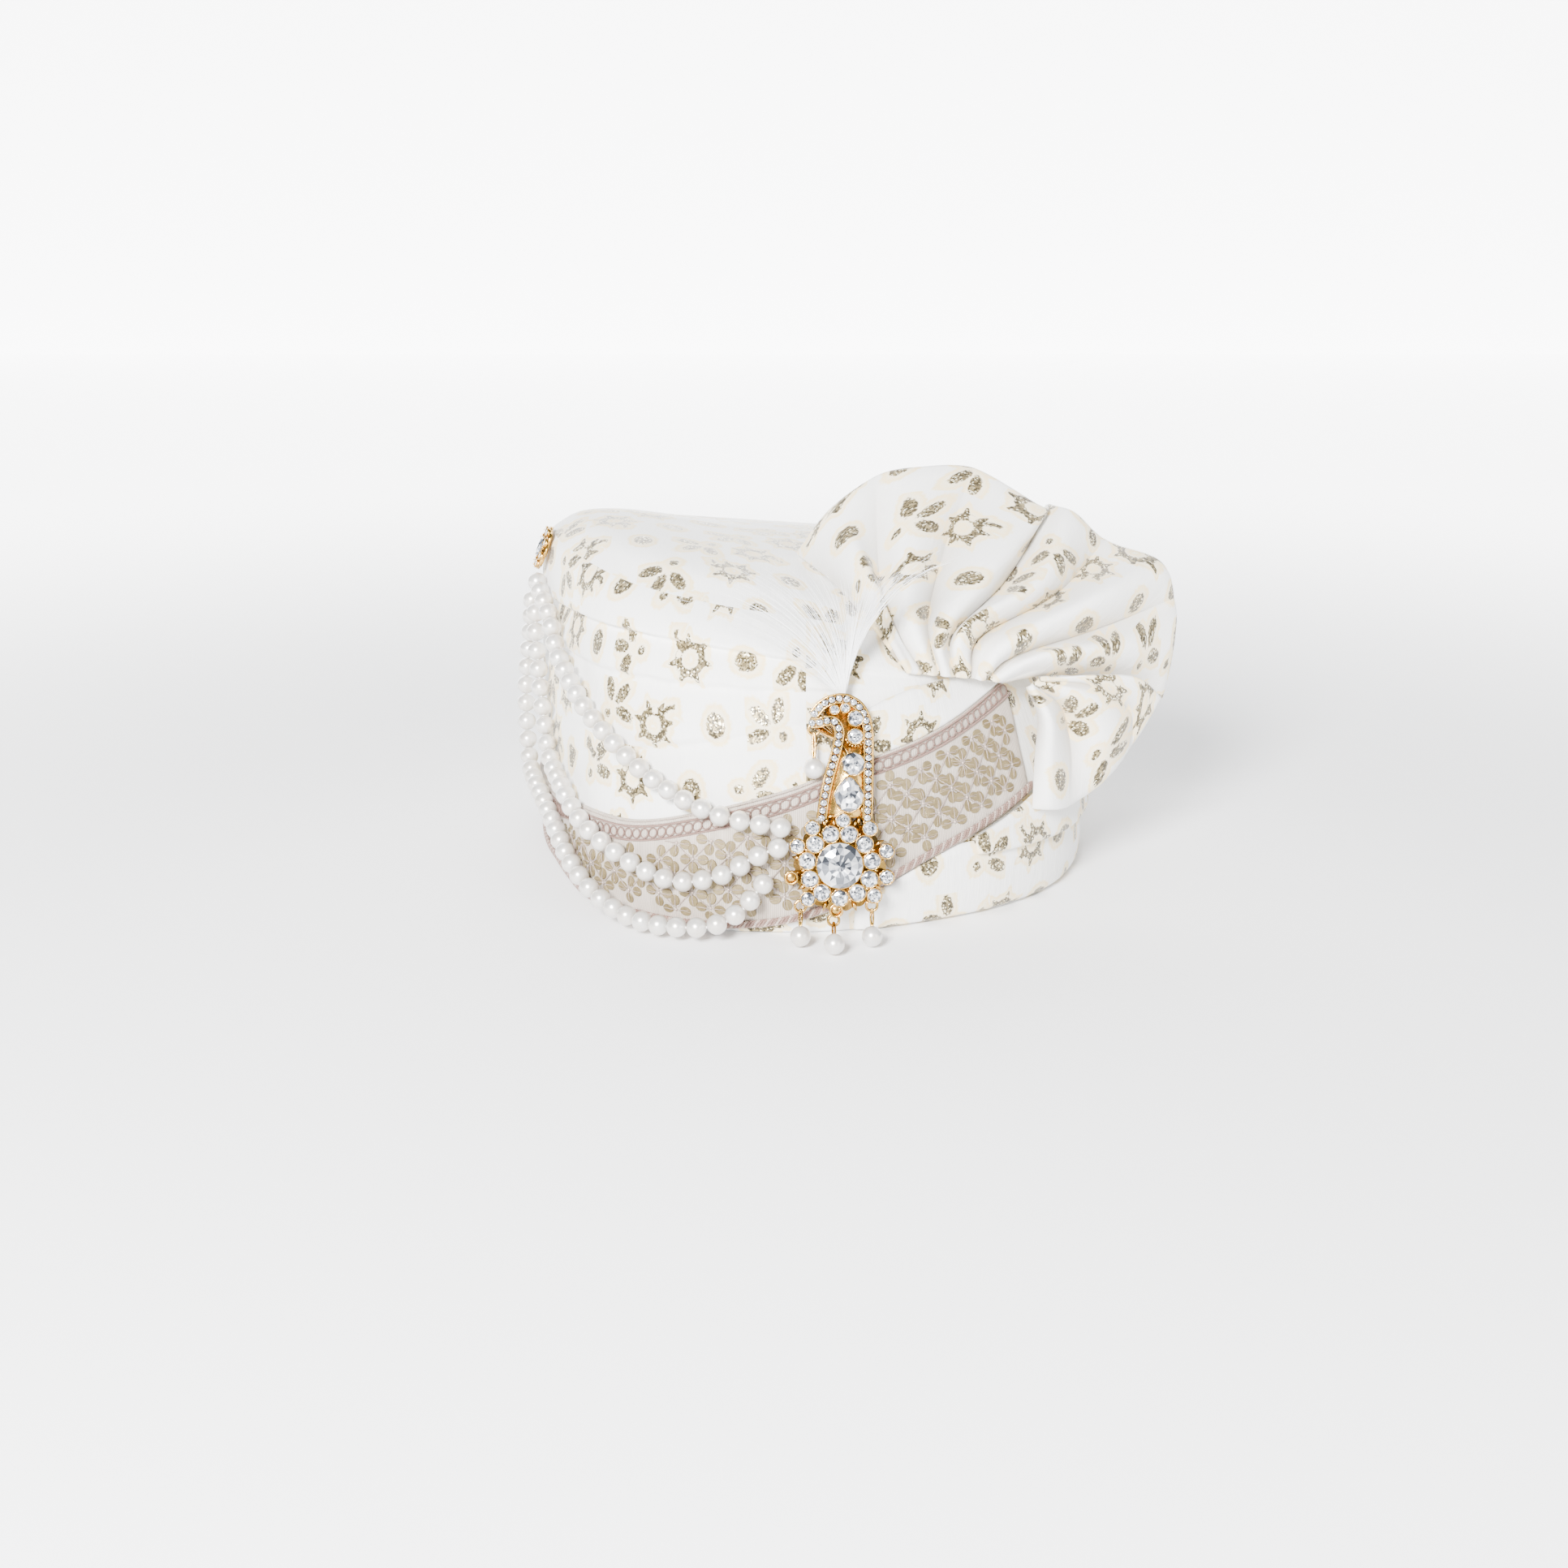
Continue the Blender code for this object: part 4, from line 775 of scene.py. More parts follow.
for azimuth, z in flowers.values():
    spin = dice.uniform(-0.25, 0.25)
    for petal in range(4):
        turn = spin + petal * math.pi / 2 + dice.uniform(-0.15, 0.15)
        off = SEQUIN_OFF * dice.uniform(0.92, 1.06)
        up = z + off * math.sin(turn)
        if not band_low(azimuth) + SEQUIN_CLEAR[0] < up < band_high(azimuth) - SEQUIN_CLEAR[1]:
            continue
        seat = on_wall(azimuth + math.degrees(off * math.cos(turn) / CROWN_RADIUS), up, OUTSIDE + 0.2)
        lean = Matrix.Rotation(turn, 4, "Z")
        for axis in "XY":
            lean = lean @ Matrix.Rotation(dice.uniform(-SEQUIN_LEAN, SEQUIN_LEAN), 4, axis)
        size = {"radius1": SEQUIN / 2, "radius2": SEQUIN / 2 - 0.2, "depth": SEQUIN_THICK}
        disc = bmesh.ops.create_cone(sequins, segments=14, cap_ends=True, **size)["verts"]
        for face in {face for vert in disc for face in vert.link_faces}:
            for loop in face.loops:
                loop[sequin_uv].uv = loop.vert.co.xy
        bmesh.ops.transform(sequins, matrix=seat @ lean @ Matrix.Diagonal((1.04, 0.88, 1, 1)), verts=disc)
sequin_flowers = made("sequin_flowers", sequins, sequin_paint)
sequin_flowers.data.polygons.foreach_set("use_smooth", [False] * len(sequin_flowers.data.polygons))


# Threads on the band: a glittery stitch holds each sequin like a leaf's vein, dotted couched threads join the
# flowers, and a knot closes each flower's middle. All are metallised thread, silver and rose.
def round_cord(bm, path, outward, radii, sides):
    """Adds a round cord along a path to a bmesh; outward and radii are for each point or the same for all."""
    path = np.asarray(path, float)
    radii = np.broadcast_to(np.asarray(radii, float), len(path))
    ahead = np.gradient(path, axis=0)
    ahead /= np.linalg.norm(ahead, axis=1)[:, None]
    side = np.cross(ahead, outward)
    side /= np.linalg.norm(side, axis=1)[:, None]
    out = np.cross(side, ahead)
    along = np.concatenate([[0], np.cumsum(np.linalg.norm(np.diff(path, axis=0), axis=1))])
    grid = bmesh.ops.create_grid(bm, x_segments=len(path) - 1, y_segments=sides, size=1)["verts"]
    layer = bm.loops.layers.uv["cloth"]
    spots = {v: (round((v.co.x + 1) / 2 * (len(path) - 1)), round((v.co.y + 1) / 2 * sides)) for v in grid}
    for face in {face for vert in grid for face in vert.link_faces}:
        for loop in face.loops:
            i, j = spots[loop.vert]
            loop[layer].uv = (along[i], 2 * math.pi * j / sides)
    for vert, (i, j) in spots.items():
        angle = 2 * math.pi * (j % sides) / sides
        vert.co = path[i] + radii[i] * (math.cos(angle) * side[i] + math.sin(angle) * out[i])
    bmesh.ops.remove_doubles(bm, verts=grid, dist=0.0005)


def second_paint(bm, first):
    """Gives the faces from the first on the second paint."""
    bm.faces.ensure_lookup_table()
    for face in bm.faces[first:]:
        face.material_index = 1


def cord_mesh():
    bm = bmesh.new()
    bm.loops.layers.uv.new("cloth")
    return bm


def twisted(name, pale, deep, pitch, shine):
    """Metallised thread whose strands wind round it once a pitch, painted with shade in the grooves between
    the strands, highlight on their crests and random flecks.
    """
    material, base = painted(name, Metallic=shine, Roughness=0.38)
    flat = base.node("ShaderNodeUVMap", {"uv_map": "cloth"})
    along, round_it, _ = flat.parts()
    turn = along * (2 * math.pi / pitch) + round_it
    # Painted shade and highlight: the colour runs from deep in the grooves between two strands to pale on
    # their crests.
    wave = (turn * 2).sine() * 0.5 + 0.5
    spark = flat.noise(5.0, 3.0)
    colour = (wave * 0.55 + spark.smooth(0.35, 0.7) * 0.45).mix(deep, pale)
    connect(base, Base_Color=colour, Normal=bumps(base, wave + spark * 0.6, 0.0003, 0.8))
    return material


stitch_paint = twisted("stitch_silver", (0.74, 0.62, 0.55, 1), (0.36, 0.25, 0.20, 1), 1.1, 0.35)
stitches = cord_mesh()
dice = random.Random(19)
for (k, row), (azimuth, z) in flowers.items():
    for turn in (0, math.pi / 2, math.pi, 1.5 * math.pi):
        ends = []
        for reach, lift in ((0.3, 0.5), (1.6, 0.75), (3.0, 0.75), (4.6, 0.3)):
            bend = turn + dice.uniform(-0.06, 0.06)
            along = math.degrees(reach * math.cos(bend) / CROWN_RADIUS)
            ends.append(wall(azimuth + along, z + reach * math.sin(bend), OUTSIDE + lift))
        if band_low(azimuth) + 2.6 < ends[-1][2] < band_high(azimuth) - 3.2:
            path = [through(ends, t / 2) for t in range(7)]
            round_cord(stitches, path, turned(azimuth, 1, 0), (0.1, 0.16, 0.17, 0.17, 0.17, 0.15, 0.1), 5)
    knot = bmesh.ops.create_icosphere(stitches, subdivisions=1, radius=0.62)["verts"]
    seat = on_wall(azimuth, z, OUTSIDE + 0.5) @ Matrix.Diagonal((1, 1, 0.6, 1))
    bmesh.ops.transform(stitches, matrix=seat, verts=knot)
    for step in (0, 1 if k % 2 else -1):
        other = flowers.get((k + 1, row + step))
        if other is None:
            continue
        sway = dice.uniform(-0.8, 0.8)
        path = []
        for t in range(9):
            share = 0.12 + 0.76 * t / 8
            a = azimuth + (other[0] - azimuth) * share
            up = z + (other[1] - z) * share + sway * math.sin(math.pi * share)
            path.append(wall(a, up, OUTSIDE + 0.28))
        round_cord(stitches, path, turned(azimuth, 1, 0), [0.2 + 0.07 * (t % 2) for t in range(9)], 5)
edge = np.linspace(BAND_SPAN[0] + 1, 369, 420)
tape_line = [wall(a, band_high(a) + BRAID_HIGH_HALF[0] + TAPE_RISE * 0.62, OUTSIDE + 0.2) for a in edge]
round_cord(stitches, tape_line, np.array([turned(a, 1, 0.05) for a in edge]), 0.16, 5)
band_stitches = made("band_stitches", stitches, stitch_paint)

# Braids: the upper one is a chain of rose-gold rings between two twisted cords, the lower one a rope of two
# rose strands and a pale one. Both are metallised thread couched along the band's edges.
RING_PITCH = 3.7
ROPE_PITCH = 4.2
braid_paint = twisted("braid_rose", (0.50, 0.33, 0.275, 1), (0.17, 0.09, 0.07, 1), 1.0, 0.3)


def along_band(height, step):
    """Azimuths along the band, a step of millimetres apart on the braid's own path."""
    fine = np.linspace(*BAND_SPAN, 900)
    path = np.array([wall(a, height(a), 1.5) for a in fine])
    run = np.concatenate([[0], np.cumsum(np.linalg.norm(np.diff(path, axis=0), axis=1))])
    wanted = np.linspace(0, run[-1], round(run[-1] / step) + 1)
    return wanted, np.interp(wanted, run, fine)


upper = cord_mesh()
for a in along_band(band_high, RING_PITCH)[1][1:-1]:
    path = []
    for turn in np.linspace(0, 2 * math.pi, 15):
        ahead = math.degrees(1.75 * math.cos(turn) / CROWN_RADIUS)
        up, lift = 1.75 * math.sin(turn), 0.6 + 0.3 * math.cos(turn)
        path.append(wall(a + ahead, band_high(a + ahead) + up, OUTSIDE + lift))
    round_cord(upper, path, turned(a, 1, 0.05), 0.31, 6)
azimuths = along_band(band_high, 1.0)[1]
outward = np.array([turned(a, 1, 0.05) for a in azimuths])
for shift in (-2.5, 2.5):
    path = [wall(a, band_high(a) + shift, OUTSIDE + 0.35) for a in azimuths]
    round_cord(upper, path, outward, 0.46, 6)
braid_high = made("braid_upper", upper, braid_paint)
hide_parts("braid_high")

lower = cord_mesh()
run, azimuths = along_band(band_low, 0.55)
outward = np.array([turned(a, 1, 0.05) for a in azimuths])
for phase in (0, 2 * math.pi / 3, 4 * math.pi / 3):
    path = []
    for at, a in zip(run, azimuths):
        wave = 2 * math.pi * at / ROPE_PITCH + phase
        path.append(wall(a, band_low(a) + 1.05 * math.sin(wave), OUTSIDE + 0.75 + 0.4 * math.cos(wave)))
    round_cord(lower, path, outward, 0.58, 6)
second_paint(lower, len(lower.faces) * 2 // 3)
braid_low = made("braid_lower", lower, braid_paint, stitch_paint)
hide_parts("braid_low")

# Pearl strands: three strings of 8 mm imitation pearls with a nacre coat, threaded on white cord and hung in
# swags from the side brooch to the front one.
PEARL = 8.0
BEAD = 7.5
BEAD_PITCH = 7.6
STRAND_COLUMNS = ("azimuth", "z", "off")
STRANDS = {
    "pearl_strand_1": (
        (282.5, 0.884, 0.537),
        (296, 0.802, 0.537),
        (301, 0.713, 0.537),
        (310, 0.64, 0.544),
        (322, 0.539, 0.537),
        (332, 0.446, 0.575),
        (345, 0.357, 0.812),
        (357.6, 0.322, 0.900),
    ),
    "pearl_strand_2": (
        (283.5, 0.806, 0.537),
        (285.5, 0.69, 0.544),
        (289, 0.597, 0.537),
        (293, 0.481, 0.537),
        (298, 0.372, 0.537),
        (311, 0.322, 0.75),
        (324, 0.233, 0.812),
        (338, 0.159, 0.800),
        (347, 0.188, 0.812),
        (352, 0.244, 0.900),
        (357.2, 0.279, 0.900),
    ),
    "pearl_strand_3": (
        (279.5, 0.829, 0.575),
        (276, 0.698, 0.62),
        (275, 0.543, 0.850),
        (276, 0.388, 0.850),
        (280, 0.279, 0.787),
        (291, 0.248, 0.787),
        (306, 0.194, 0.800),
        (317, 0.132, 0.850),
        (325.5, 0.081, 1.125),
        (334, 0.067, 1.600),
        (341, 0.071, 1.800),
        (346.5, 0.076, 1.600),
        (350.3, 0.105, 1.250),
        (354.4, 0.194, 0.925),
    ),
}


def evenly(path, pitch):
    """Points spread evenly along a finely drawn path, as near to a pitch apart as fills it."""
    path = np.asarray(path)
    along = np.concatenate([[0], np.cumsum(np.linalg.norm(np.diff(path, axis=0), axis=1))])
    wanted = np.linspace(0, along[-1], round(along[-1] / pitch) + 1)
    return np.stack([np.interp(wanted, along, path[:, k]) for k in range(3)], axis=1)


pearl_paint, base = painted(
    "pearl_nacre", Metallic=0.45, Roughness=0.34, Coat_Weight=1.0, Coat_Roughness=0.2, Specular_IOR_Level=0.8
)
nacre = base.node("ShaderNodeTexCoord", None, None, 3).noise(180.0, 2.0)
connect(base, Base_Color=nacre.smooth(0.3, 0.7).mix((0.69, 0.67, 0.64, 1), (0.68, 0.63, 0.565, 1)))
thread_paint, _ = painted("pearl_thread", Base_Color=(0.9, 0.89, 0.87, 1), Roughness=0.7)


def pearl(bm, middle, ahead, radius):
    """Adds a bead whose holes lie along the string."""
    bead = bmesh.ops.create_uvsphere(bm, u_segments=24, v_segments=14, radius=radius)["verts"]
    turn = Vector(ahead).to_track_quat("Z", "Y").to_matrix().to_4x4()
    bmesh.ops.transform(bm, matrix=Matrix.Translation(Vector(middle)) @ turn, verts=bead)


for name, stations in STRANDS.items():
    count = len(stations) - 1
    fine = [through(stations, count * i / 400) for i in range(401)]
    knots = evenly([wall(a, z * CROWN_HEIGHT, off * PEARL) for a, z, off in fine], BEAD_PITCH)
    beads = cord_mesh()
    for start, end in zip(knots, knots[1:]):
        pearl(beads, (start + end) / 2, end - start, BEAD / 2)
    beaded = len(beads.faces)
    round_cord(beads, knots, turned(0, 1, 0.3), 0.5, 6)
    second_paint(beads, beaded)
    strand = made(name.replace("pearl_strand", "pearls"), beads, pearl_paint, thread_paint)
    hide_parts(name)

# Front brooch: cast and gilt flower with a hooked shaft, pinned through the band. Round crystals sit in gilt
# cups with prongs, small ones run in rows between raised rails, and two cups have lost their stones.
BROOCH_HEIGHT = 74.1
BROOCH_LEAN = 12.0
BROOCH_FOOT = (0.101, -1.103, 0.128)
PLATE_THICK = 1.2
FLOWER_RADIUS = 16.6
FLOWER_DIP = 4.4
HOOK_RADIUS = 11.8
HOOK_MIDDLE = -0.2
CENTRE_STONE = 16.6
RING_STONES = 11
RING_STONE = 6.1
OUTER_STONE = 5.1
CUP_GAP = 0.45
SHAFT_COLUMNS = ("name", "u", "v", "width")
SHAFT_STONES = (
    ("stone_shaft_low", 0.026, -0.007, 0.11),
    ("stone_shaft_mid", 0.104, 0.444, 0.181),
    ("stone_shaft_high", 0.121, 0.662, 0.119),
)
PEAR = (0.071, 0.201, 0.23, 0.278)
ROUND_COLUMNS = ("name", "angle", "reach", "width")
HOOK_STONES = (
    ("stone_hook_high", 27.3, 0.553, 0.458),
    ("stone_hook_right", 73.4, 0.593, 0.271),
    ("stone_hook_left", 106.4, 0.539, 0.271),
)
OUTER_COLUMNS = ("angle", "reach")
OUTER_STONES = (
    (126.1, 1.013),
    (50.9, 1.041),
    (16.8, 1.063),
    (-14.0, 1.049),
    (-41.1, 0.999),
    (-133.3, 1.01),
    (155.4, 1.014),
)
EMPTY_CUPS = ((-165.6, 1.089), (-94.5, 0.991))
EMPTY_CUP = 4.4
# Rows of small stones, in millimetres from the hook's middle: up the right edge and over, and up the left.
ROW_COLUMNS = ("u", "v")
OUTER_ROW = (
    (10.1, -33.0),
    (10.3, -26.0),
    (10.4, -16.0),
    (10.4, -8.0),
    (10.3, -2.4),
    (9.4, 2.8),
    (7.3, 6.9),
    (4.0, 9.3),
    (0.6, 10.1),
    (-3.0, 9.5),
    (-6.4, 7.6),
    (-9.0, 4.6),
)
INNER_ROW = (
    (-6.4, -33.0),
    (-5.4, -26.0),
    (-3.9, -18.8),
    (-2.3, -13.0),
    (-1.0, -8.3),
    (-0.3, -4.6),
    (-0.1, -1.4),
    (-1.6, 1.6),
    (-4.6, 2.1),
    (-7.4, 1.4),
    (-9.9, 1.2),
)
ROW_EDGE = 1.5
PAVE_PITCH = 2.75
FACING = (0, 0, 1.0)
# Cut of a stone: rings of points from the cup up, as shares of its half width, and how far each is turned.
CUT_COLUMNS = ("reach", "rise", "turn")
CUT = ((0.86, 0.0, 0), (1.0, 0.16, 0), (0.80, 0.38, 0.5), (0.50, 0.47, 0), (0.24, 0.50, 0.5), (0.0, 0.51, 0))
BROAD_STONE = 6
BROAD_RISE = 0.72
PEAR_TAPER = 0.42
LEAF_COLUMNS = ("u", "v", "turn")
SHAFT_LEAVES = (
    (-2.2, -1.2, 100),
    (-4.8, -0.6, 60),
    (-3.4, 1.2, 20),
    (6.8, -0.4, 80),
    (8.8, -1.0, 120),
    (10.7, -0.8, 60),
    (2.0, 4.2, 90),
    (8.0, 3.6, 90),
)


def plane_of(lean, azimuth, origin):
    """Matrix from a brooch's plane (u right, v up, w out of the cloth) to the room."""
    level = Vector(turned(azimuth, 1, 0))
    out = level * math.cos(math.radians(lean)) + Vector((0, 0, math.sin(math.radians(lean))))
    across = Vector((0, 0, 1)).cross(level)
    return Matrix.Translation(Vector(origin)) @ Matrix((across, out.cross(across), out)).transposed().to_4x4()


def flat_bmesh():
    """Bmesh for a brooch in its own plane, with the layers that its paints read."""
    bm = cord_mesh()
    bm.faces.layers.float.new("facet_reflection")
    return bm


def gilt(name, colour):
    material, base = painted(name, Metallic=1.0, Roughness=0.2, Base_Color=colour)
    place = base.node("ShaderNodeTexCoord", None, None, 3)
    cast = place.noise(900.0, 3.0)
    worn = place.noise(220.0, 2.0)
    deep = tuple(0.72 * share for share in colour[:2]) + (0.55 * colour[2], 1)
    connect(
        base,
        Base_Color=worn.smooth(0.35, 0.65).mix(deep, colour),
        Roughness=worn * 0.22 + 0.12,
        Normal=bumps(base, cast, 0.0003, 0.35),
    )
    return material


gold = gilt("brooch_gilt", (0.66, 0.40, 0.115, 1))
crystal, base = painted("crystal_foiled", Roughness=0.06, Metallic=0.55, Coat_Weight=1.0, Coat_Roughness=0.02)
# Painted reflections of the crystals: each facet takes a random step from near black to white.
FACET_REFLECTIONS = (
    (0.0, (0.05, 0.055, 0.065, 1)),
    (0.14, (0.13, 0.14, 0.16, 1)),
    (0.34, (0.34, 0.36, 0.40, 1)),
    (0.56, (0.68, 0.70, 0.74, 1)),
    (0.76, (1.0, 1.0, 1.0, 1)),
)
facet_reflection = base.node("ShaderNodeAttribute", {"attribute_name": "facet_reflection"}, None, 2)
connect(base, Base_Color=facet_reflection.steps(FACET_REFLECTIONS))


def outlined(bm, points, low, high):
    """Adds a plate of an outline from one height to another and gives back its vertices."""
    verts = [bm.verts.new((u, v, low)) for u, v in points]
    face = bmesh.ops.contextual_create(bm, geom=verts)["faces"]
    top = bmesh.ops.extrude_face_region(bm, geom=face)["geom"]
    raised = [item for item in top if isinstance(item, bmesh.types.BMVert)]
    bmesh.ops.translate(bm, vec=(0, 0, high - low), verts=raised)
    whole = verts + raised
    bmesh.ops.recalc_face_normals(bm, faces=list({face for vert in whole for face in vert.link_faces}))
    return whole


def ring_cord(bm, u, v, w, radius, wire, tall=1.0, count=18, sides=6):
    """Adds a wire ring in the brooch's plane."""
    angles = [2 * math.pi * k / count for k in range(count + 1)]
    path = [(u + radius * math.cos(a), v + radius * tall * math.sin(a), w) for a in angles]
    round_cord(bm, path, FACING, wire, sides)


def ball(bm, u, v, w, radius):
    added = bmesh.ops.create_icosphere(bm, subdivisions=2, radius=radius)["verts"]
    bmesh.ops.translate(bm, vec=(u, v, w), verts=added)


def leaf(bm, u, v, w, turn, size):
    """Adds a small cast leaf with a raised rib, its point along turn."""
    added = bmesh.ops.create_cone(bm, segments=4, radius1=1, radius2=0.0, depth=1, cap_ends=True)["verts"]
    shape = Matrix.Translation((u, v, w)) @ Matrix.Rotation(turn, 4, "Z") @ Matrix.Diagonal((*size, 1))
    bmesh.ops.transform(bm, matrix=shape, verts=added)


def gem(bm, outline, base_w, sides, dice):
    """Adds a cut stone: girdle, rings of facets and a low table; every facet gets its own painted reflection,
    from dark to white.
    """
    u, v, half_u, half_v, taper = outline
    points = []
    for share, w, shift in CUT:
        for k in range(sides if share else 1):
            a = 2 * math.pi * (k + shift) / sides + math.pi / 2
            slim = 1 - taper * max(0, math.sin(a))
            lift = w * half_u * (1.0 if half_u < BROAD_STONE else BROAD_RISE)
            place = (u + half_u * share * math.cos(a) * slim, v + half_v * share * math.sin(a), base_w + lift)
            points.append(bm.verts.new(place))
    hull = bmesh.ops.convex_hull(bm, input=points)["geom"]
    layer = bm.faces.layers.float["facet_reflection"]
    for face in hull:
        if isinstance(face, bmesh.types.BMFace):
            face[layer] = dice.random()
            face.material_index = 1


def cup(bm, u, v, radius, prongs, tall=1.0):
    """Adds a gilt cup for a stone: a wall, a wire rim and prongs that grip the stone's edge."""
    wall_verts = bmesh.ops.create_cone(
        bm, segments=16, radius1=radius * 0.85, radius2=radius + 0.25, depth=1.5, cap_ends=True
    )["verts"]
    seat = Matrix.Translation((u, v, 1.2)) @ Matrix.Diagonal((1, tall, 1, 1))
    bmesh.ops.transform(bm, matrix=seat, verts=wall_verts)
    ring_cord(bm, u, v, 2.0, radius + 0.12, 0.28, tall)
    for k in range(prongs):
        a = 2 * math.pi * (k + 0.5) / prongs
        ball(bm, u + (radius + 0.02) * math.cos(a), v + (radius + 0.02) * tall * math.sin(a), 2.35, 0.42)


def round_about(centre, radius, angle, reach):
    a = math.radians(angle)
    return centre[0] + radius * reach * math.cos(a), centre[1] + radius * reach * math.sin(a)


def offset(path, distance):
    """The path moved sideways to its left."""
    path = np.asarray(path)
    ahead = np.gradient(path, axis=0)
    ahead /= np.linalg.norm(ahead, axis=1)[:, None]
    return path + distance * np.stack([-ahead[:, 1], ahead[:, 0]], axis=1)


flower = (0.0, FLOWER_RADIUS - FLOWER_DIP)
hook = (HOOK_MIDDLE, BROOCH_HEIGHT - HOOK_RADIUS)
shaft_top = 2 * FLOWER_RADIUS - FLOWER_DIP
shaft_length = BROOCH_HEIGHT - shaft_top
front_plane = plane_of(BROOCH_LEAN, 0, spot(BROOCH_FOOT)[0])
dice = random.Random(46)

metal = flat_bmesh()
edge = []
for k in range(180):
    a = 2 * math.pi * k / 180
    scallop = 0.5 * abs(math.cos(9 * a)) ** 0.7 + 0.25 * math.cos(18 * a + 0.6)
    edge.append(round_about(flower, FLOWER_RADIUS - 0.6 + scallop, math.degrees(a), 1))
outlined(metal, edge, 0.0, PLATE_THICK)
rows = []
for row in (OUTER_ROW, INNER_ROW):
    count = len(row) - 1
    rows.append(np.array([through(row, count * k / 70) for k in range(71)]) + hook)
plate = [*offset(rows[0], -ROW_EDGE), *offset(rows[1], ROW_EDGE)[::-1]]
outlined(metal, plate, 0.1, PLATE_THICK + 0.1)
for row in rows:
    for side in (-ROW_EDGE, ROW_EDGE):
        rail = offset(row, side)
        path = [(u, v, PLATE_THICK + 0.35) for u, v in rail]
        round_cord(metal, path, FACING, 0.42, 6)
ring_reach = (CENTRE_STONE + RING_STONE) / 2 + CUP_GAP
stones = [("stone_centre", *flower, CENTRE_STONE / 2, 16, 8)]
for k in range(RING_STONES):
    middle = round_about(flower, ring_reach, 90 + 360 * (k + 0.5) / RING_STONES, 1)
    stones.append((f"stone_ring_{k + 1}", *middle, RING_STONE / 2, 9, 4))
for k, (angle, reach) in enumerate(OUTER_STONES):
    middle = round_about(flower, FLOWER_RADIUS, angle, reach)
    stones.append((f"stone_outer_{k + 1}", *middle, OUTER_STONE / 2, 9, 4))
for name, u, v, width in SHAFT_STONES:
    stones.append((name, u * shaft_length, shaft_top + v * shaft_length, width * shaft_length / 2, 9, 4))
for name, angle, reach, width in HOOK_STONES:
    stones.append((name, *round_about(hook, HOOK_RADIUS, angle, reach), width * HOOK_RADIUS / 2, 8, 3))
crystals = flat_bmesh()
for name, u, v, radius, sides, prongs in stones:
    cup(metal, u, v, radius, prongs)
    gem(crystals, (u, v, radius, radius, 0.0), 1.9, sides, dice)
pear_u, pear_v = PEAR[0] * shaft_length, shaft_top + PEAR[1] * shaft_length
pear_w, pear_h = PEAR[2] * shaft_length / 2, PEAR[3] * shaft_length / 2
gem(crystals, (pear_u, pear_v, pear_w, pear_h, PEAR_TAPER), 1.9, 12, dice)
path = []
for k in range(29):
    a = 2 * math.pi * k / 28
    slim = 1 - PEAR_TAPER * max(0, math.sin(a))
    path.append((pear_u + (pear_w + 0.2) * math.cos(a) * slim, pear_v + (pear_h + 0.2) * math.sin(a), 1.9))
round_cord(metal, path, FACING, 0.35, 6)
for row in rows:
    knots = evenly(np.array([(u, v, 0.0) for u, v in row]), PAVE_PITCH)
    for u, v, _ in knots:
        gem(metal, (u, v, 1.3, 1.3, 0.0), PLATE_THICK + 0.35, 7, dice)
    for (u_0, v_0, _), (u_1, v_1, _) in zip(knots, knots[1:]):
        ahead = np.array((u_1 - u_0, v_1 - v_0))
        side = np.array((-ahead[1], ahead[0])) / np.linalg.norm(ahead)
        for way in (-1, 1):
            u, v = np.array((u_0 + u_1, v_0 + v_1)) / 2 + way * side * 0.95
            ball(metal, u, v, PLATE_THICK + 0.7, 0.34)
for angle, reach in EMPTY_CUPS:
    u, v = round_about(flower, FLOWER_RADIUS, angle, reach)
    ring_cord(metal, u, v, 2.0, EMPTY_CUP / 2, 0.5)
    bowl = bmesh.ops.create_uvsphere(metal, u_segments=16, v_segments=8, radius=EMPTY_CUP / 2)["verts"]
    seat = Matrix.Translation((u, v, 0.9)) @ Matrix.Diagonal((1, 1, 0.45, 1))
    bmesh.ops.transform(metal, matrix=seat, verts=bowl)
for k in range(18):
    angle = 10 + 20 * k
    u, v = round_about(flower, FLOWER_RADIUS, angle, 0.93 + 0.04 * (k % 2))
    leaf(metal, u, v, PLATE_THICK + 0.35, math.radians(angle), (2.4, 1.15, 1.0))
for k in range(RING_STONES):
    angle = 90 + 360 * k / RING_STONES
    u, v = round_about(flower, ring_reach, angle, 1.12)
    leaf(metal, u, v, PLATE_THICK + 0.3, math.radians(angle), (1.9, 1.1, 1.1))
for u, v, turn in SHAFT_LEAVES:
    leaf(metal, u, shaft_top + v, PLATE_THICK + 0.5, math.radians(turn), (2.3, 1.1, 1.2))
mid_u, mid_v = SHAFT_STONES[2][1] * shaft_length, shaft_top + SHAFT_STONES[2][2] * shaft_length
for k in range(9):
    a = math.radians(200 + 17.5 * k)
    ball(metal, mid_u + 3.5 * math.cos(a), mid_v + 3.5 * math.sin(a), 1.8, 0.5)
DROP_COLUMNS = ("name", "angle", "reach", "length")
FLOWER_DROPS = (
    ("drop_left", -133.6, 1.24, 11.15),
    ("drop_middle", -96.2, 1.218, 13.6),
    ("drop_right", -51.7, 1.128, 11.35),
)
HOOK_DROPS = (("drop_hook", -173.2, 0.785, 14.15),)
EYELET = 2.0
EYELET_WIRE = 0.55
held = []
for drops, middle, radius in ((FLOWER_DROPS, flower, FLOWER_RADIUS), (HOOK_DROPS, hook, HOOK_RADIUS)):
    for name, angle, reach, length in drops:
        held.append((name, round_about(middle, radius, angle, reach), length))
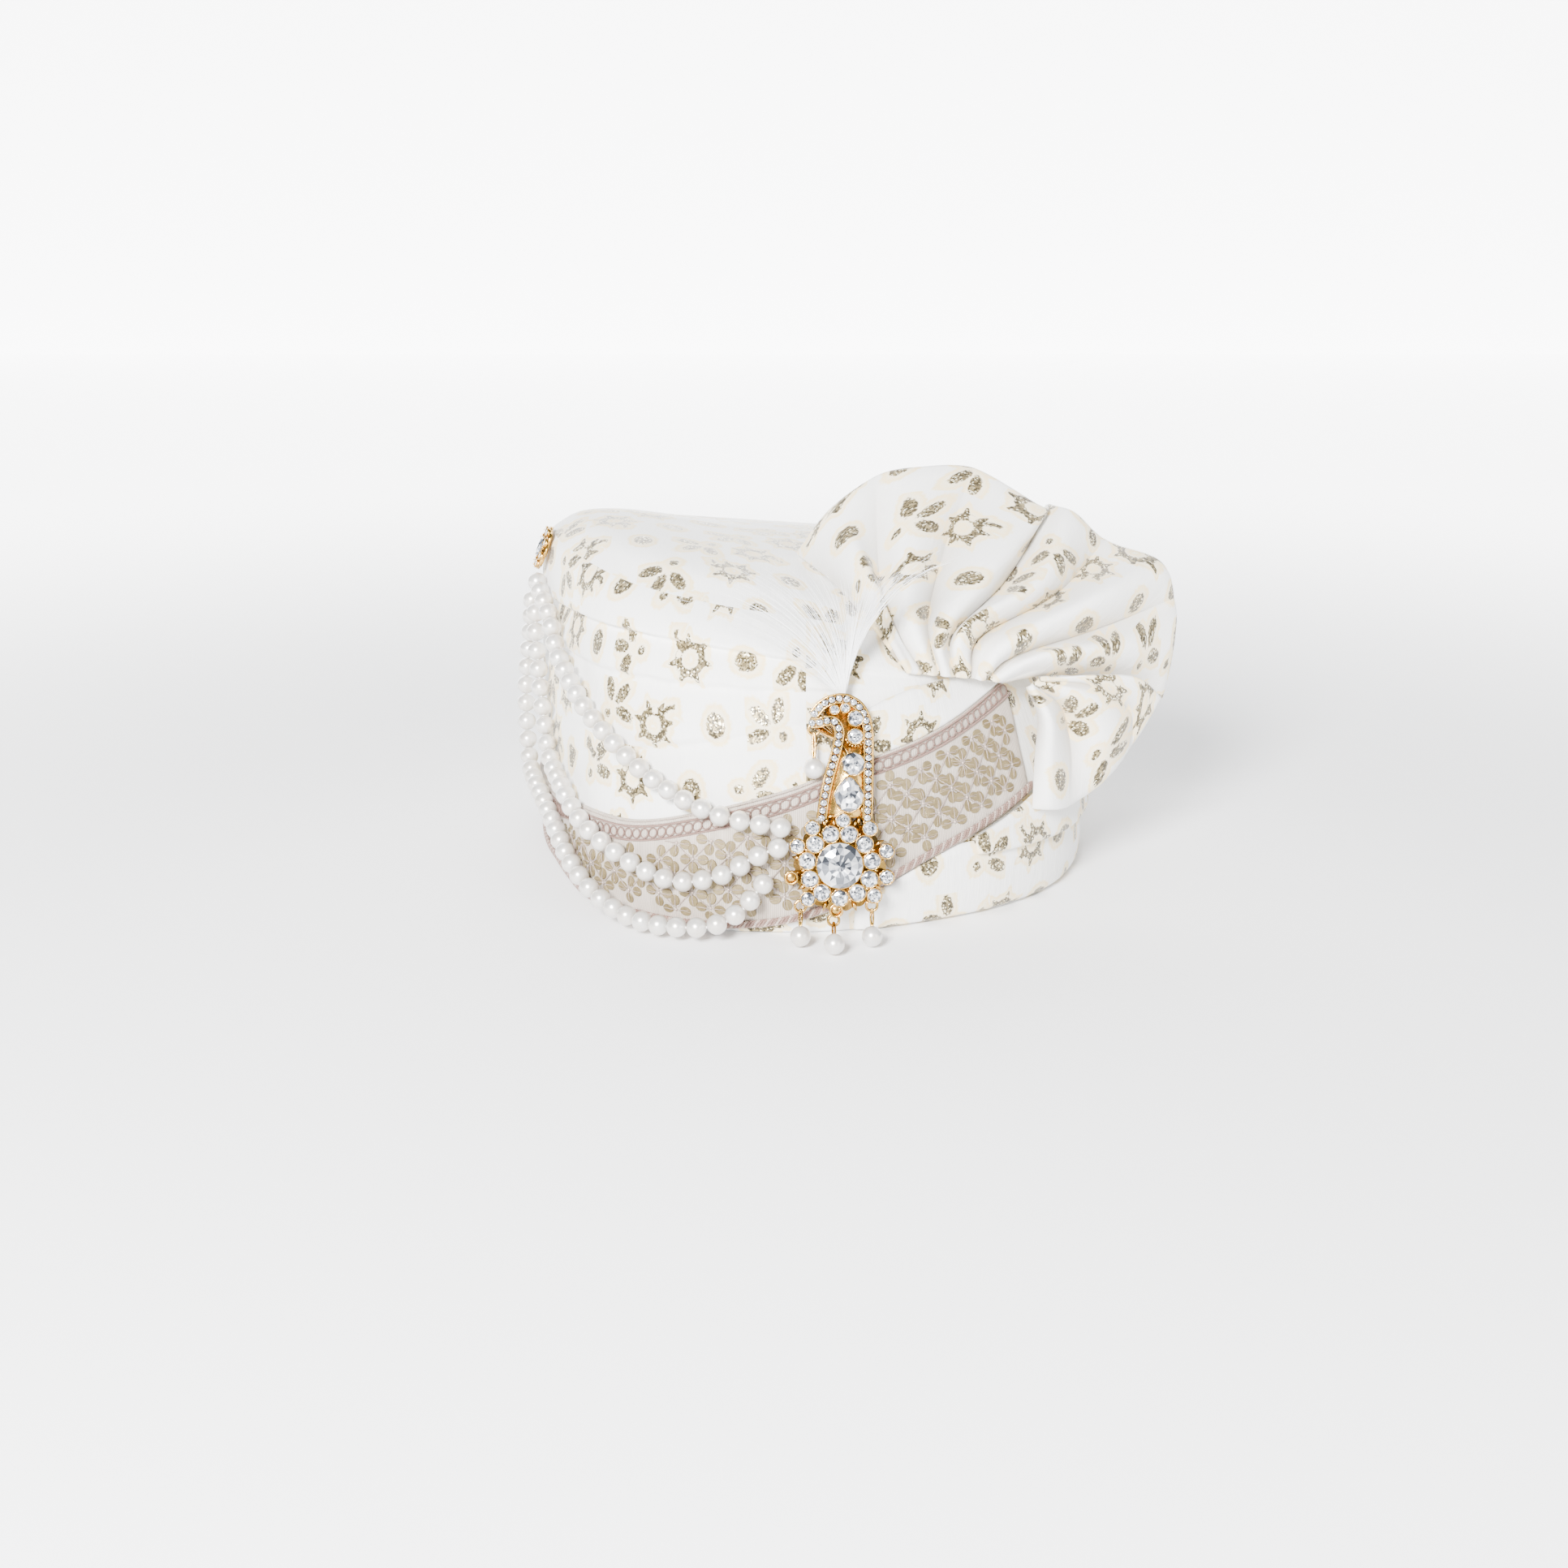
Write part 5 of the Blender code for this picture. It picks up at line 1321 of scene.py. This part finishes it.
for name, (u, v), length in held:
    ring_cord(metal, u, v, PLATE_THICK / 2, EYELET, EYELET_WIRE, 1.0, 20, 8)
u, v = held[-1][1]
bar = [(u + EYELET, v - 0.6, 0.5), (u + 4.6, v - 2.2, 0.4), (u + 7.4, v - 3.4, 0.6)]
round_cord(metal, bar, FACING, 0.42, 6)

bmesh.ops.transform(metal, matrix=front_plane, verts=metal.verts)
brooch = made("brooch_metal", metal, gold, crystal)
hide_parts("brooch")
bmesh.ops.transform(crystals, matrix=front_plane, verts=crystals.verts)
gems = made("brooch_crystals", crystals, crystal, crystal)
gems.data.polygons.foreach_set("use_smooth", [False] * len(gems.data.polygons))
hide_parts(*[stone[0] for stone in stones], "stone_pear")

# Pearl drops: an 8 mm pearl on a long link of gilt wire through each eyelet, hanging free.
DROP_LEAN = 24.0
REST_GAP = 0.7
drop_gold = gilt("drop_gilt", (0.64, 0.39, 0.115, 1))
for name, (u, v), length in held:
    centre = front_plane @ Vector((u, v, PLATE_THICK / 2))
    fall = min(length * math.cos(math.radians(DROP_LEAN)), centre.z - PEARL / 2 - REST_GAP)
    middle = centre - Vector((0, math.sqrt(length**2 - fall**2), fall))
    down = (middle - centre).normalized()
    drop = flat_bmesh()
    pearl(drop, middle, down, BEAD / 2)
    beaded = len(drop.faces)
    start, end = centre + down * (EYELET - EYELET_WIRE - 0.3), middle - down * (PEARL / 2 - 0.5)
    half = (end - start) / 2
    lean = Vector((1, 0, 0.25)).normalized()
    turns = [2 * math.pi * k / 24 for k in range(25)]
    path = [tuple(start + half + half * math.cos(t) * -1 + lean * 0.5 * math.sin(t)) for t in turns]
    round_cord(drop, path, tuple(down.cross(lean)), 0.42, 6)
    second_paint(drop, beaded)
    hung = made(name.replace("drop", "pearl_drop"), drop, pearl_paint, drop_gold)
    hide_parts(name)

# Side brooch: a small round one of the same gilt metal at the temple, which holds the strands' upper ends.
SIDE_AZIMUTH = 281.0
SIDE_HEIGHT = 0.971
SIDE_SEAT = 0.9
SIDE_TILT = 21.0
SIDE_RADIUS = 9.0
SIDE_STONE = 8.0
SIDE_RING_STONES = 8
SIDE_RING_STONE = 3.6
side_plane = plane_of(SIDE_TILT, SIDE_AZIMUTH, wall(SIDE_AZIMUTH, SIDE_HEIGHT * CROWN_HEIGHT, SIDE_SEAT))
side_metal, side_gems = flat_bmesh(), flat_bmesh()
edge = []
for k in range(96):
    a = 2 * math.pi * k / 96
    reach = SIDE_RADIUS - 0.4 + 0.4 * math.cos(8 * a)
    edge.append((reach * math.cos(a), reach * math.sin(a)))
outlined(side_metal, edge, 0.0, PLATE_THICK)
cup(side_metal, 0, 0, SIDE_STONE / 2, 6)
gem(side_gems, (0, 0, SIDE_STONE / 2, SIDE_STONE / 2, 0.0), 1.9, 12, dice)
for k in range(SIDE_RING_STONES):
    u, v = round_about((0, 0), SIDE_RADIUS - SIDE_RING_STONE / 2 - 0.2, 360 * (k + 0.5) / SIDE_RING_STONES, 1)
    cup(side_metal, u, v, SIDE_RING_STONE / 2 - 0.2, 3)
    gem(side_metal, (u, v, SIDE_RING_STONE / 2 - 0.2, SIDE_RING_STONE / 2 - 0.2, 0.0), 1.7, 8, dice)
bmesh.ops.transform(side_metal, matrix=side_plane, verts=side_metal.verts)
side_brooch = made("side_brooch_metal", side_metal, gold, crystal)
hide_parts("side_brooch")
bmesh.ops.transform(side_gems, matrix=side_plane, verts=side_gems.verts)
side_stone = made("side_brooch_crystal", side_gems, crystal, crystal)
side_stone.data.polygons.foreach_set("use_smooth", [False] * len(side_stone.data.polygons))
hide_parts("side_stone_centre")

# Plume: white feather, stripped so that its long soft barbs fan out from a short quill tucked in behind the
# brooch's hook. The barbs are separate tapering hairs, a few of them as thick as shafts.
PLUME_COLUMNS = ("bend_x", "bend_y", "bend_z", "tip_x", "tip_y", "tip_z", "width")
PLUME_SEAT = (1.4, 71.0)
PLUME_HEAD = 2.6
PLUME_STRIPS = (
    (-0.042, -1.017, 0.837, -0.508, -0.867, 0.903, 0.94),
    (-0.008, -1.0, 0.899, -0.4, -0.833, 0.953, 0.94),
    (0.05, -0.983, 0.946, -0.217, -0.85, 1.016, 1.0),
    (0.133, -0.983, 0.915, 0.017, -0.867, 1.031, 1.0),
    (0.158, -0.975, 0.977, 0.25, -0.9, 1.039, 1.0),
    (0.167, -0.967, 1.008, 0.5, -0.883, 1.066, 0.88),
)
BARBS = 190
BARB_THICK = 0.15
SHAFT_THICK = 0.42
FEATHER = {"Base_Color": (1.0, 1.0, 1.0, 1), "Roughness": 0.75, "Sheen_Weight": 0.8, "Alpha": 0.85}
feather, _ = painted("feather_white", **FEATHER)
plume_mesh = cord_mesh()
root = front_plane @ Vector((*PLUME_SEAT, -PLUME_HEAD - 0.3))
quill = bmesh.ops.create_icosphere(plume_mesh, subdivisions=3, radius=PLUME_HEAD * 0.7)["verts"]
bmesh.ops.translate(plume_mesh, vec=root, verts=quill)
dice = random.Random(2026)
for k in range(BARBS):
    place = min(4.999, max(0.0, 5 * ((k + dice.random()) / BARBS) ** 0.7 + dice.gauss(0, 0.12)))
    row = through(PLUME_STRIPS, place)
    bend, tip = spot(row[:6])
    size = dice.uniform(0.55, 1.02)
    sway = np.array([dice.gauss(0, 1.6), dice.gauss(0, 0.7), dice.gauss(0, 1.6)])
    path = []
    for j in range(9):
        s = size * j / 8
        point = (1 - s) ** 2 * np.array(root) + 2 * s * (1 - s) * bend + s**2 * tip
        path.append(point + sway * s * s + np.array((0, -0.5, 0)) * s)
    thick = SHAFT_THICK if k % 48 == 30 else BARB_THICK
    radii = [thick * (1 - 0.7 * j / 8) for j in range(9)]
    round_cord(plume_mesh, path, (0.0, -1.0, 0.3), radii, 3)
plume = made("plume_barbs", plume_mesh, feather)
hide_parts("plume")

# Floor, light and camera: a pale studio with large soft lamps, seen from the photo's place.
# The floor and backdrop glow, painted light: the backdrop evenly, the floor white far off, its glow fading
# out near the turban as a painted shadow round its foot.
glowing_paper, base = painted("studio_paper", Base_Color=(0.95, 0.95, 0.955, 1), Roughness=0.9, Emission_Strength=5.0)
x, y, _ = base.node("ShaderNodeTexCoord", None, None, 3).parts()
connect(base, Emission_Color=x.hypot(y + 0.1).smooth(0.25, 1.3).mix((0.02, 0.02, 0.02, 1), (1, 1, 1, 1)))
for name, lean, place in (("floor", 0, (0, 0, 0)), ("backdrop", 90, (0, 3, 1))):
    sheet = bmesh.new()
    bmesh.ops.create_grid(sheet, x_segments=1, y_segments=1, size=3)
    turn = Matrix.Translation(place) @ Matrix.Rotation(math.radians(lean), 4, "X")
    bmesh.ops.transform(sheet, matrix=turn, verts=sheet.verts)
    mesh = bpy.data.meshes.new(name)
    sheet.to_mesh(mesh)
    sheet.free()
    mesh.materials.append(glowing_paper)
    stage = bpy.data.objects.new(name, mesh)
    bpy.context.scene.collection.objects.link(stage)

world = bpy.data.worlds.new("studio")
bpy.context.scene.world = world
world.use_nodes = True
world.node_tree.nodes["Background"].inputs["Color"].default_value = (0.84, 0.91, 1, 1)
world.node_tree.nodes["Background"].inputs["Strength"].default_value = 0.3


def soft_lamp(name, place, aim, size, power):
    data = bpy.data.lights.new(name, "AREA")
    data.shape = "DISK"
    data.size = size
    data.energy = power
    lamp = bpy.data.objects.new(name, data)
    lamp.location = place
    lamp.rotation_euler = (Vector(aim) - Vector(place)).to_track_quat("-Z", "Y").to_euler()
    bpy.context.scene.collection.objects.link(lamp)


soft_lamp("key", (-0.42, -1.3, 0.72), (0, 0, 0.07), 0.42, 104.0)
soft_lamp("fill", (0.9, -0.9, 0.35), (0, 0, 0.07), 0.6, 6.0)

view = bpy.data.cameras.new("photo_view")
view.lens = 44.72
view.sensor_width = 36
view.clip_start = 0.01
camera = bpy.data.objects.new("photo_view", view)
camera.location = (-0.0210, -0.7864, 0.254)
camera.rotation_euler = (math.radians(90 - 16.3), 0, 0)
bpy.context.scene.collection.objects.link(camera)
bpy.context.scene.camera = camera
